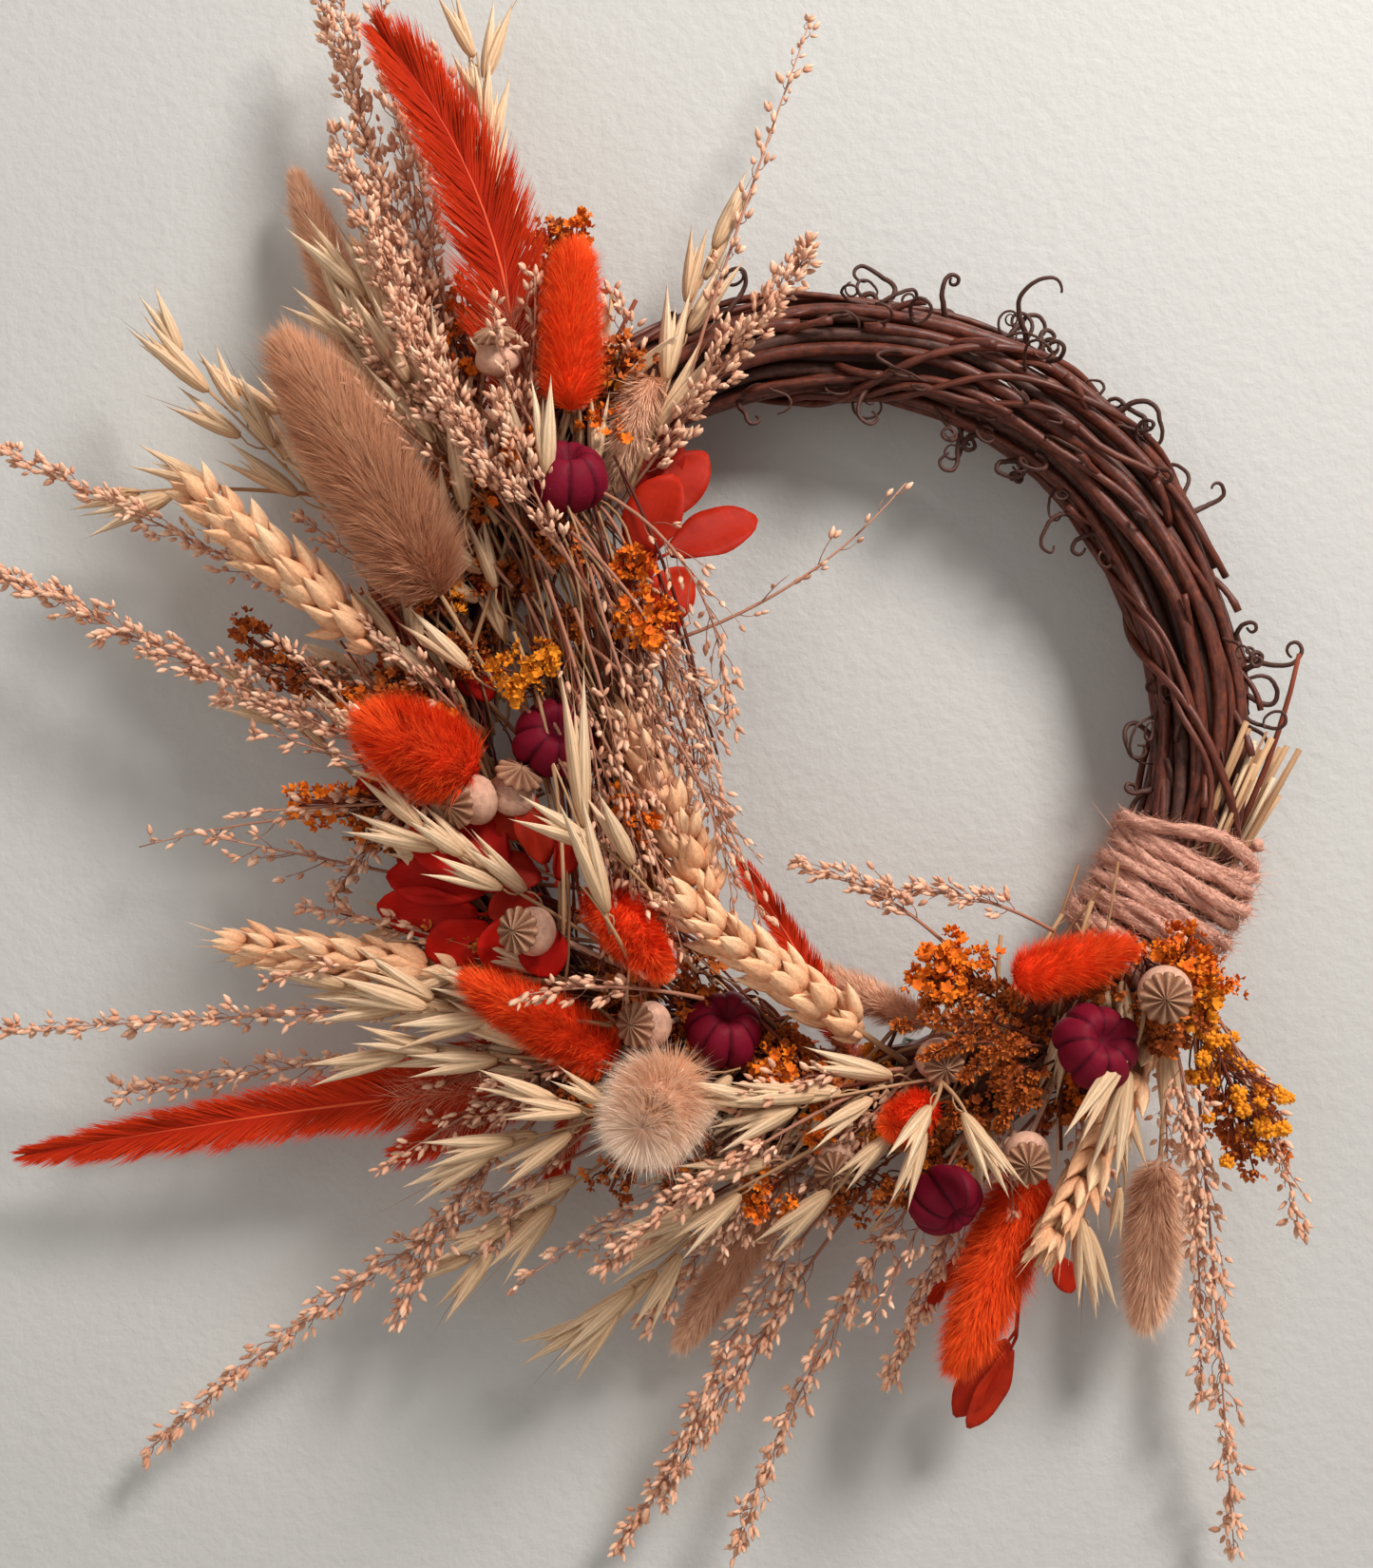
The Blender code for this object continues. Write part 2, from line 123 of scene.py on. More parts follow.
class Line:
    """A smooth middle line from a plant's foot to its tip, with its girth along the way."""

    def __init__(self, points, girths=None):
        self.points = np.asarray(points, float)
        self.girths = girths
        steps = np.linalg.norm(np.diff(self.points, axis=0), axis=1)
        self.shares = np.concatenate([[0], np.cumsum(steps)]) / steps.sum()
        self.length = steps.sum()

    def at(self, shares):
        return np.stack([np.interp(shares, self.shares, axis) for axis in self.points.T], -1)

    def way(self, shares):
        shares = np.asarray(shares, float)
        return unit(self.at(np.minimum(shares + 0.04, 1)) - self.at(np.maximum(shares - 0.04, 0)))

    def girth(self, shares):
        return np.interp(shares, self.shares, self.girths)

    def neck(self):
        """The share of the line at which the head begins."""
        wide = np.nonzero(self.girths > 0.3 * self.girths.max())[0][0]
        return max(self.shares[wide] - 0.02, 0.0)


def arc(foot, tip, bow=(0, 0, 0), count=9):
    """A line from foot to tip whose middle is moved by bow, in millimetres."""
    foot, tip = np.asarray(foot, float), np.asarray(tip, float)
    shares = np.linspace(0, 1, count)[:, None]
    bend = np.asarray(bow, float) * MM * 4 * shares * (1 - shares)
    return Line(foot * (1 - shares) + tip * shares + bend)


def face_arc(foot, tip, bow=(0, 0, 0), count=9):
    """An arc between two places that face() takes."""
    return arc(face(*foot), face(*tip), bow, count)


def bowed(line, bow):
    """The same line with its middle moved by bow, in millimetres."""
    shares = line.shares[:, None]
    return Line(line.points + np.asarray(bow, float) * MM * 4 * shares * (1 - shares), line.girths)


SLICES = 24


def line_of(node):
    """The middle line of a CAD plant, from slices across its longest direction."""
    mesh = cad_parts[node].data
    points = np.empty(len(mesh.vertices) * 3, np.float32)
    mesh.vertices.foreach_get("co", points)
    points = points.reshape(-1, 3).astype(float)
    ends = np.empty(len(mesh.edges) * 2, np.int32)
    mesh.edges.foreach_get("vertices", ends)
    ends = ends.reshape(-1, 2)
    middle = points.mean(axis=0)
    axis = np.linalg.svd(points - middle, full_matrices=False)[2][0]
    along = (points - middle) @ axis
    low, high = along.min(), along.max()
    centres, girths = [], []
    for share in (np.arange(SLICES) + 0.5) / SLICES:
        level = low + (high - low) * share
        before, after = along[ends[:, 0]], along[ends[:, 1]]
        cut = (before - level) * (after - level) < 0
        part = ((level - before) / np.where(cut, after - before, 1))[cut, None]
        ring = points[ends[cut, 0]] * (1 - part) + points[ends[cut, 1]] * part
        centre = (ring.min(axis=0) + ring.max(axis=0)) / 2
        centres.append(centre)
        girths.append(np.linalg.norm(ring - centre, axis=1).max())
    first = centres[0] + (centres[0] - centres[1]) / 2
    last = centres[-1] + (centres[-1] - centres[-2]) / 2
    centres = np.array([first, *centres, last])
    girths = np.array([girths[0], *girths, girths[-1]])

    def from_ring(point):
        flat = math.hypot(point[0] - CENTRE[0], point[2] - CENTRE[2]) - RING_RADIUS
        return math.hypot(flat, point[1] - CENTRE[1])

    if from_ring(centres[0]) > from_ring(centres[-1]):
        centres, girths = centres[::-1], girths[::-1]
    return Line(centres, girths)


# ---- shapes


class Shape:
    """A shape modelled once, with its foot at 0 and its tip at 1 on Z, ready to be copied."""

    def __init__(self, piece):
        mesh = piece.data
        self.points = np.array([corner.co for corner in mesh.vertices])
        self.sizes = np.array([len(side.vertices) for side in mesh.polygons])
        self.corners = np.concatenate([side.vertices[:] for side in mesh.polygons])
        spots = self.points[self.corners]
        turn = np.abs(np.arctan2(spots[:, 1], spots[:, 0])) / math.pi
        flat = np.abs(self.points[:, 1]).max() < 1e-6
        width = max(np.abs(self.points[:, 0]).max(), 1e-6)
        across = spots[:, 0] / (2 * width) + 0.5 if flat else turn
        self.maps = np.stack([across, np.clip(spots[:, 2], 0, 1)], -1)
        bpy.data.objects.remove(piece, do_unlink=True)


def add_primitive(adder, **sizes):
    bpy.ops.object.select_all(action="DESELECT")
    adder(**sizes)
    return bpy.context.object


def reshape(piece, move):
    """Moves every vertex of a piece by a rule on its x, y and z."""
    points = np.array([corner.co for corner in piece.data.vertices])
    moved = np.stack(move(*points.T), -1)
    piece.data.vertices.foreach_set("co", moved.ravel())
    piece.data.update()
    return piece


def edit(operator, **settings):
    """Runs an edit mode operator on all of the active piece."""
    bpy.ops.object.mode_set(mode="EDIT")
    bpy.ops.mesh.select_all(action="SELECT")
    operator(**settings)
    bpy.ops.object.mode_set(mode="OBJECT")


def model_blade(rows, taper):
    """A flat hair, awn or barb: one face wide and tapered to its tip."""
    blade = add_primitive(
        bpy.ops.mesh.primitive_grid_add, x_subdivisions=1, y_subdivisions=rows, size=1.0
    )
    reshape(blade, lambda x, y, z: (x * (1 - (y + 0.5)) ** taper, z, y + 0.5))
    edit(bpy.ops.mesh.remove_doubles, threshold=0.0001)
    return Shape(blade)


def model_grain(segments, rings, fullness, keel=0.0, point=0.8):
    """A closed seed or husk, widest below its middle, with a pointed tip."""
    grain = add_primitive(
        bpy.ops.mesh.primitive_uv_sphere_add, segments=segments, ring_count=rings, radius=0.5
    )

    def move(x, y, z):
        along = z + 0.5
        spread = np.hypot(x, y)
        round_there = np.sqrt(np.maximum(0.25 - z * z, 1e-9))
        round_way = np.clip(np.sin(math.pi * np.clip(along, 0, 1) ** fullness), 0, 1)
        slim = np.where(along < 0.3, round_way ** 0.7, round_way ** point) * 0.5
        grow = np.where(spread > 1e-6, slim / round_there, 0)
        return x * grow, y * grow + keel * np.abs(x * grow), along

    return Shape(reshape(grain, move))


def model_floret(petals=5, depth=0.5):
    """A papery funnel whose edge is crinkled into petals."""
    floret = add_primitive(
        bpy.ops.mesh.primitive_circle_add, vertices=petals * 2, radius=0.5, fill_type="TRIFAN"
    )
    edit(bpy.ops.mesh.subdivide, number_cuts=1)

    def move(x, y, z):
        out = np.hypot(x, y) * 2
        turn = np.arctan2(y, x)
        edge = 1 + 0.18 * np.cos(petals * turn)
        rise = out ** 0.7 * (1 - depth) + depth * out * np.cos(petals * turn) * 0.5
        return x * edge, y * edge, np.clip(rise, 0, 1)

    return Shape(reshape(floret, move))


def model_leaf():
    """A thin oval leaf folded a little on its midrib and waved at its edge."""
    leaf = add_primitive(
        bpy.ops.mesh.primitive_grid_add, x_subdivisions=6, y_subdivisions=12, size=1.0
    )

    def move(x, y, z):
        along = y + 0.5
        outline = np.sin(math.pi * (0.04 + 0.95 * along) ** 1.15) ** 0.62
        fold = 0.16 * np.abs(x) * outline
        wave = 0.035 * np.sin(along * 14 + x * 5) * np.abs(x) * 2
        return x * outline, fold + wave, along

    reshape(leaf, move)
    wall = leaf.modifiers.new("thickness", "SOLIDIFY")
    wall.thickness = 0.014
    wall.offset = 0
    bpy.context.view_layer.objects.active = leaf
    bpy.ops.object.modifier_apply(modifier=wall.name)
    return Shape(leaf)


def model_shapes():
    return {
        "hair": model_blade(2, 0.8),
        "barb": model_blade(3, 0.5),
        "seed": model_grain(5, 4, 0.8),
        "husk": model_grain(8, 7, 0.70, keel=0.25, point=1.0),
        "glume": model_grain(8, 8, 0.60, keel=0.3, point=1.25),
        "floret": model_floret(),
        "leaf": model_leaf(),
    }


# ---- growth


def frames_along(points, hint):
    """Directions along a line and two across it, turned as little as can be."""
    ways = unit(np.gradient(points, axis=0))
    hint = np.asarray(hint, float)
    if hint.ndim == 1:
        side = hint - ways[0] * (hint @ ways[0])
        if np.linalg.norm(side) < 0.2:
            side = np.array([1.0, 0, 0]) - ways[0] * ways[0][0]
        sides = []
        for way in ways:
            side = unit(side - way * (side @ way))
            sides.append(side)
        sides = np.array(sides)
    else:
        sides = unit(hint - ways * (hint * ways).sum(-1, keepdims=True))
    return ways, sides, np.cross(ways, sides)


def tube_faces(rows, sides, inward=False):
    """Corners and sizes of the faces of a closed tube of rings, or of one turned inside out."""
    row = np.arange(rows - 1)[:, None] * sides
    here = np.arange(sides)[None]
    there = (here + 1) % sides
    wall = [row + here, row + there, row + sides + there, row + sides + here]
    first, last = here[0][::-1], here[0] + (rows - 1) * sides
    if inward:
        wall = [wall[0], wall[3], wall[2], wall[1]]
        first, last = first[::-1], last[::-1]
    corners = np.concatenate([np.stack(wall, -1).reshape(-1), first, last])
    return corners, np.concatenate([np.full((rows - 1) * sides, 4), [sides, sides]])


SHAPES = {}


class Growth:
    """Collects copies of shapes, and stems, into the mesh of one piece."""

    def __init__(self, map_name=PATTERN_MAP):
        self.map_name = map_name
        self.points, self.corners, self.sizes, self.maps, self.slots = [], [], [], [], []
        self.count = 0

    def add(self, points, corners, sizes, maps, slot):
        """Adds vertices and the faces on them, whose corners have places on the map."""
        self.points.append(points)
        self.corners.append(np.asarray(corners) + self.count)
        self.sizes.append(np.asarray(sizes))
        self.maps.append(maps)
        self.slots.append(np.full(len(sizes), slot, np.int32))
        self.count += len(points)

    def copies(self, name, feet, ways, faces, lengths, widths, shades, slot=0, bends=0.0,
               flatness=1.0):
        """A copy of the shape at each foot: along its way, with its front towards its face,
        in metres long and wide, its tip bent forward by a share of its length."""
        shape = SHAPES[name]
        feet = np.atleast_2d(feet)
        total = len(feet)
        ways = unit(np.broadcast_to(ways, (total, 3)))
        faces = np.broadcast_to(np.asarray(faces, float), (total, 3))
        faces = unit(faces - ways * (faces * ways).sum(-1, keepdims=True))
        sides = np.cross(faces, ways)

        def each(values):
            return np.broadcast_to(values, (total,))[:, None, None]

        x, y, z = (shape.points[:, axis][None, :, None] for axis in range(3))
        points = feet[:, None] + sides[:, None] * x * each(widths)
        points = points + faces[:, None] * y * each(widths) * flatness
        points = points + ways[:, None] * z * each(lengths)
        points = points + faces[:, None] * z * z * each(bends) * each(lengths)
        points[..., 1] = np.minimum(points[..., 1], LAST_Y)
        corners = shape.corners[None] + np.arange(total)[:, None] * len(shape.points)
        band = np.clip(np.broadcast_to(shades, (total,)) * SHADES, 0, SHADES - 1).astype(int)
        across = (band[:, None] + 0.06 + 0.88 * shape.maps[None, :, 0]) / SHADES
        along = np.broadcast_to(0.01 + 0.98 * shape.maps[None, :, 1], across.shape)
        maps = np.stack([across, along], -1).reshape(-1, 2)
        sizes = np.tile(shape.sizes, total)
        self.add(points.reshape(-1, 3), corners.ravel(), sizes, maps, slot)

    def stem(self, points, radii, shade=0.5, slot=0, sides=5, hint=FRONT, length=1.0):
        """A closed tube through the points, whose map is length long."""
        points = np.asarray(points, float)
        radii = np.broadcast_to(radii, len(points))[:, None, None]
        ways, across, up = frames_along(points, hint)
        turn = np.arange(sides) * TAU / sides
        ring = across[:, None] * np.cos(turn)[None, :, None]
        ring = ring + up[:, None] * np.sin(turn)[None, :, None]
        rows = len(points)
        spots = (points[:, None] + ring * radii).reshape(-1, 3)
        spots[:, 1] = np.minimum(spots[:, 1], LAST_Y)
        corners, sizes = tube_faces(rows, sides)
        along = np.linspace(0, length, rows)
        left = np.arange(sides)[None] / sides
        right = left + 1 / sides
        if self.map_name == PATTERN_MAP:
            band = min(int(shade * SHADES), SHADES - 1)
            left, right = ((band + 0.1 + 1.6 * np.minimum(edge, 1 - edge)) / SHADES
                           for edge in (left, right))
        low, high, left, right = np.broadcast_arrays(
            along[:-1, None], along[1:, None], left, right)
        places = ((left, low), (right, low), (right, high), (left, high))
        maps = np.stack([np.stack(place, -1) for place in places], 2).reshape(-1, 2)
        cap_map = np.stack([np.tile(left[0], 2), np.repeat([along[0], along[-1]], sides)], -1)
        self.add(spots, corners, sizes, np.concatenate([maps, cap_map]), slot)

    def finish(self, name, materials, record_slot, replaced=()):
        """Makes the piece, which rides on the wreath and stands for the CAD nodes named."""
        mesh = bpy.data.meshes.new(name)
        points = np.concatenate(self.points)
        corners = np.concatenate(self.corners)
        sizes = np.concatenate(self.sizes)
        mesh.vertices.add(len(points))
        mesh.vertices.foreach_set("co", points.astype(np.float32).ravel())
        mesh.loops.add(len(corners))
        mesh.loops.foreach_set("vertex_index", corners.astype(np.int32))
        mesh.polygons.add(len(sizes))
        starts = np.concatenate([[0], np.cumsum(sizes)[:-1]]).astype(np.int32)
        mesh.polygons.foreach_set("loop_start", starts)
        mesh.update(calc_edges=True)
        layer = mesh.uv_layers.new(name=self.map_name)
        layer.uv.foreach_set("vector", np.concatenate(self.maps).astype(np.float32).ravel())
        mesh.polygons.foreach_set("material_index", np.concatenate(self.slots))
        mesh.polygons.foreach_set("use_smooth", np.full(len(sizes), True))
        for material in materials:
            mesh.materials.append(bpy.data.materials[material])
        mesh.validate()
        piece = bpy.data.objects.new(name, mesh)
        bpy.context.scene.collection.objects.link(piece)
        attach(piece, "root")
        if replaced:
            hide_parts(*replaced)


# ---- materials


class Tree:
    """Short ways to add and join the nodes of a material or a group."""

    def __init__(self, tree):
        self.tree = tree

    def node(self, kind, **settings):
        node = self.tree.nodes.new(kind)
        for name, value in settings.items():
            setattr(node, name, value)
        return node

    def join(self, value, socket):
        if isinstance(value, bpy.types.NodeSocket):
            self.tree.links.new(value, socket)
        elif value is not None:
            socket.default_value = value

    def math(self, operation, *values):
        node = self.node("ShaderNodeMath", operation=operation)
        for value, socket in zip(values, node.inputs):
            self.join(value, socket)
        return node.outputs[0]

    def mix(self, share, first, second, blend="MIX"):
        node = self.node("ShaderNodeMix", data_type="RGBA", blend_type=blend)
        self.join(share, node.inputs[0])
        self.join(first, node.inputs[6])
        self.join(second, node.inputs[7])
        return node.outputs[2]

    def noise(self, vector, scale, detail=2.0, roughness=0.5):
        node = self.node("ShaderNodeTexNoise")
        self.join(vector, node.inputs["Vector"])
        node.inputs["Scale"].default_value = scale
        node.inputs["Detail"].default_value = detail
        node.inputs["Roughness"].default_value = roughness
        return node.outputs["Fac"]

    def object_noise(self, *settings):
        spots = self.node("ShaderNodeTexCoord")
        return self.noise(spots.outputs["Object"], *settings)

    def lift(self, height, strength, distance, shader):
        """Raises the surface by a height."""
        node = self.node("ShaderNodeBump")
        node.inputs["Strength"].default_value = strength
        node.inputs["Distance"].default_value = distance
        self.join(height, node.inputs["Height"])
        self.join(node.outputs[0], shader.inputs["Normal"])

    def spread(self, value, low, high, start=0.0, end=1.0):
        node = self.node("ShaderNodeMapRange")
        for number, item in enumerate((value, low, high, start, end)):
            self.join(item, node.inputs[number])
        return node.outputs[0]


def start_material(name, roughness, gloss):
    """A new material's tree and its shader."""
    material = bpy.data.materials.new(name)
    material.use_nodes = True
    shader = material.node_tree.nodes["Principled BSDF"]
    shader.inputs["Roughness"].default_value = roughness
    shader.inputs["Specular IOR Level"].default_value = gloss
    return Tree(material.node_tree), shader


def start_group(name, inputs, outputs):
    """A new node group's tree, its inputs and its outputs."""
    group = bpy.data.node_groups.new(name, "ShaderNodeTree")
    for in_out, sockets in (("INPUT", inputs), ("OUTPUT", outputs)):
        for socket, kind in sockets.items():
            group.interface.new_socket(socket, in_out=in_out, socket_type="NodeSocket" + kind)
    tree = Tree(group)
    return tree, tree.node("NodeGroupInput").outputs, tree.node("NodeGroupOutput").inputs


def use_group(tree, name, values):
    group = tree.node("ShaderNodeGroup", node_tree=bpy.data.node_groups[name])
    for socket, value in values.items():
        group.inputs[socket].default_value = (*value, 1.0) if np.ndim(value) else value
    return group.outputs


def make_plant_pattern():
    """A group that paints a plant's surface on its pattern map: from the foot's colour to the
    tip's, darker or lighter by band, with stripes along and fine fibres."""
    tree, given, result = start_group("PlantPattern", {
        "Foot": "Color", "Tip": "Color", "Shade": "Color", "Stripe": "Color", "Stripes": "Float",
        "Stripe Count": "Float", "Shading": "Float", "Fibre": "Float",
    }, {"Colour": "Color", "Height": "Float"})
    place = tree.node("ShaderNodeUVMap", uv_map=PATTERN_MAP)
    parts = tree.node("ShaderNodeSeparateXYZ")
    tree.join(place.outputs[0], parts.inputs[0])
    banded = tree.math("MULTIPLY", parts.outputs[0], float(SHADES))
    across = tree.math("FRACT", banded)
    shade = tree.math("DIVIDE", tree.math("FLOOR", banded), float(SHADES - 1))
    along = parts.outputs[1]
    base = tree.mix(along, given["Foot"], given["Tip"])
    shaded = tree.mix(tree.math("MULTIPLY", shade, given["Shading"]), base, given["Shade"])
    wave = tree.math("SINE", tree.math("MULTIPLY", across, given["Stripe Count"]))
    lines = tree.math("MULTIPLY", tree.spread(wave, -0.2, 0.8), given["Stripes"])
    striped = tree.mix(lines, shaded, given["Stripe"])
    stretched = tree.node("ShaderNodeCombineXYZ")
    tree.join(tree.math("MULTIPLY", parts.outputs[0], 60.0), stretched.inputs[0])
    tree.join(tree.math("MULTIPLY", along, 5.0), stretched.inputs[1])
    fibre = tree.noise(stretched.outputs[0], 2.0, 3.0, 0.6)
    light = tree.math("SUBTRACT", tree.spread(fibre, 0.25, 0.75, 0.62, 1.3), 1.0)
    even = tree.math("ADD", tree.math("MULTIPLY", light, given["Fibre"]), 1.0)
    tree.join(tree.mix(1.0, striped, even, "MULTIPLY"), result["Colour"])
    hairs = tree.math("MULTIPLY", fibre, given["Fibre"])
    tree.join(tree.math("ADD", lines, hairs), result["Height"])


def make_bark_pattern():
    """A group that paints bark: long streaks, darker patches and fine pale specks."""
    tree, given, result = start_group(
        "BarkPattern", {"Dark": "Color", "Light": "Color", "Streak": "Color"},
        {"Colour": "Color", "Smooth": "Float", "Height": "Float"})
    streaks = grain_noise(tree, (9.0, 28.0, 1.0), 0.0, 1.0, 5.0, 0.65)
    patches = tree.object_noise(70.0, 3.0, 0.6)
    body = tree.mix(tree.spread(streaks, 0.35, 0.68), given["Dark"], given["Light"])
    mixed = tree.mix(tree.spread(patches, 0.48, 0.75, 0.0, 0.6), body, given["Dark"])
    fine = tree.object_noise(420.0, 3.0, 0.6)
    tinted = tree.mix(tree.spread(fine, 0.58, 0.78, 0.0, 0.35), mixed, given["Streak"])
    tree.join(tinted, result["Colour"])
    tree.join(tree.spread(streaks, 0.3, 0.7), result["Smooth"])
    tree.join(tree.math("ADD", streaks, tree.math("MULTIPLY", fine, 0.5)), result["Height"])


def grain_noise(tree, scale, turn, *settings):
    """Noise that is drawn out along a cane or a yarn."""
    place = tree.node("ShaderNodeUVMap", uv_map=GRAIN_MAP)
    long_way = tree.node("ShaderNodeMapping")
    tree.join(place.outputs[0], long_way.inputs["Vector"])
    long_way.inputs["Scale"].default_value = scale
    long_way.inputs["Rotation"].default_value = (0.0, 0.0, turn)
    return tree.noise(long_way.outputs[0], *settings)


def plant_material(name, foot, tip, shade, shading, fibre, roughness, stripe=None, stripes=0.0,
                   stripe_count=30.0, bump=0.2, gloss=0.22):
    tree, shader = start_material(name, roughness, gloss)
    pattern = use_group(tree, "PlantPattern", {
        "Foot": foot, "Tip": tip, "Shade": shade, "Stripe": stripe or foot, "Stripes": stripes,
        "Stripe Count": stripe_count, "Shading": shading, "Fibre": fibre,
    })
    tree.join(pattern["Colour"], shader.inputs["Base Color"])
    tree.lift(pattern["Height"], bump, 0.0004, shader)


def bark_material(name, dark, light, streak, roughness):
    """Smooth brown bark, a little rougher where it is dark."""
    tree, shader = start_material(name, roughness, 0.34)
    bark = use_group(tree, "BarkPattern", {"Dark": dark, "Light": light, "Streak": streak})
    tree.join(bark["Colour"], shader.inputs["Base Color"])
    rough = tree.spread(bark["Smooth"], 0.0, 1.0, roughness + 0.2, roughness)
    tree.join(rough, shader.inputs["Roughness"])
    tree.lift(bark["Height"], 0.3, 0.0005, shader)


def wool_material(dark, light):
    tree, shader = start_material("wool", 0.95, 0.15)
    fibres = grain_noise(tree, (10.0, 90.0, 1.0), 0.35, 1.6, 4.0, 0.7)
    tree.join(tree.mix(tree.spread(fibres, 0.35, 0.68), dark, light), shader.inputs["Base Color"])
    tree.lift(fibres, 0.6, 0.0005, shader)


def pod_material(skin, painted_groove_shade, bloom):
    """The waxy, wrinkled skin of a mini pumpkin: darker in its grooves and dimple with painted shade,
    dusty on its ribs.
    """
    tree, shader = start_material("pod_skin", 0.5, 0.14)
    pattern = tree.node("ShaderNodeUVMap", uv_map=PATTERN_MAP)
    parts = tree.node("ShaderNodeSeparateXYZ")
    tree.join(pattern.outputs[0], parts.inputs[0])
    mottle = tree.object_noise(380.0, 4.0, 0.65)
    wrinkle = tree.object_noise(1100.0, 3.0, 0.6)
    skin_with_groove_shade = tree.mix(tree.spread(parts.outputs[0], 0.1, 0.75), painted_groove_shade, skin)
    dusty = tree.mix(tree.spread(mottle, 0.48, 0.8, 0.0, 0.45), skin_with_groove_shade, bloom)
    tree.join(dusty, shader.inputs["Base Color"])
    tree.join(tree.spread(mottle, 0.3, 0.7, 0.55, 0.8), shader.inputs["Roughness"])
    tree.lift(tree.math("ADD", mottle, tree.math("MULTIPLY", wrinkle, 0.5)), 0.35, 0.0005, shader)


def wire_material():
    """Dark green paint, worn to the metal in specks."""
    tree, shader = start_material("florist_wire", 0.45, 0.5)
    worn_off = tree.object_noise(900.0, 3.0, 0.6)
    paint = tree.mix(tree.spread(worn_off, 0.5, 0.7), (0.03, 0.06, 0.03, 1.0),
                     (0.16, 0.17, 0.14, 1.0))
    tree.join(paint, shader.inputs["Base Color"])


# Colour at the foot, at the tip and of the shaded ones, shading, fibre and roughness, and then
# the stripes' colour, depth and count, the bump and the gloss where they differ
PLANT_FINISHES = {
    # fur darkens from the hair tips to the roots and the core, partly its own tone and partly painted
    # shade deep in the fur
    "orange_fur": ((0.8, 0.04, 0.004), (1.0, 0.16, 0.022), (0.95, 0.062, 0.006), 0.7, 0.3, 0.9),
    "natural_fur": ((0.62, 0.305, 0.18), (1.0, 0.68, 0.46), (0.8, 0.425, 0.255), 0.75, 0.3, 0.9),
    # a paler copy of natural_fur: painted light on the head seen from its tip
    "cream_fur": ((1.0, 0.6, 0.41), (1.0, 0.88, 0.71), (1.0, 0.71, 0.53), 0.75, 0.2, 0.9),
    "tan_fur": ((0.46, 0.19, 0.095), (0.86, 0.48, 0.285), (0.62, 0.275, 0.145), 0.75, 0.3, 0.9),
    # wheat husks darken towards their feet, partly their own tone and partly painted shade where the
    # husks overlap
    "wheat_husk": ((0.58, 0.235, 0.102), (1.0, 0.69, 0.425), (0.84, 0.4, 0.2), 0.7, 0.7, 0.7,
        (0.5, 0.22, 0.095), 0.32, 20.0, 0.5),
    "oat_husk": ((0.56, 0.33, 0.175), (0.96, 0.72, 0.5), (0.7, 0.42, 0.24), 0.6, 0.45, 0.55,
        (0.42, 0.28, 0.14), 0.5, 38.0, 0.5),
    "straw_stem": ((0.42, 0.23, 0.11), (0.7, 0.44, 0.24), (0.22, 0.085, 0.035), 0.9, 0.7, 0.6),
    "panicle_stem": ((0.36, 0.145, 0.085), (0.6, 0.31, 0.205), (0.22, 0.07, 0.04), 0.7, 0.5, 0.7),
    "panicle_seed": ((0.66, 0.315, 0.185), (0.98, 0.675, 0.475), (0.56, 0.245, 0.14), 0.8, 0.45, 0.65),
    "feather_barb": ((0.45, 0.016, 0.002), (0.78, 0.052, 0.006), (0.32, 0.008, 0.001), 0.65, 0.6, 0.8,
        None, 0.0, 30.0, 0.2, 0.14),
    "feather_down": ((0.9, 0.52, 0.36), (0.92, 0.3, 0.15), (0.75, 0.13, 0.04), 0.7, 0.5, 0.9),
    "feather_shaft": ((0.8, 0.13, 0.035), (0.62, 0.04, 0.01), (0.5, 0.03, 0.008), 0.4, 0.3, 0.5),
    "leaf_red": ((0.22, 0.003, 0.001), (0.36, 0.009, 0.002), (0.47, 0.028, 0.004), 0.8, 0.4, 0.6,
        (0.29, 0.006, 0.002), 0.25, 60.0, 0.25, 0.13),
    "leaf_wine": ((0.28, 0.003, 0.001), (0.46, 0.006, 0.002), (0.58, 0.01, 0.003), 0.7, 0.4, 0.6,
        (0.22, 0.003, 0.001), 0.25, 60.0, 0.25, 0.12),
    "poppy_skin": ((0.46, 0.23, 0.15), (0.8, 0.48, 0.345), (0.42, 0.2, 0.12), 0.4, 0.7, 0.7,
        (0.58, 0.33, 0.23), 0.4, 24.0, 0.5),
    "poppy_crown": ((0.22, 0.08, 0.038), (0.56, 0.31, 0.185), (0.18, 0.06, 0.03), 0.5, 0.9, 0.8,
        None, 0.0, 30.0, 0.6),
    "orange_petal": ((0.66, 0.12, 0.005), (1.0, 0.31, 0.012), (0.6, 0.085, 0.006), 0.75, 0.5, 0.8),
    "rust_petal": ((0.4, 0.078, 0.012), (0.86, 0.245, 0.032), (0.24, 0.038, 0.008), 0.8, 0.6, 0.8),
    "yellow_petal": ((0.62, 0.19, 0.008), (0.96, 0.37, 0.018), (0.7, 0.21, 0.01), 0.7, 0.5, 0.8),
    "dark_twig": ((0.12, 0.026, 0.013), (0.26, 0.055, 0.024), (0.07, 0.014, 0.008), 0.7, 0.6, 0.75),
}


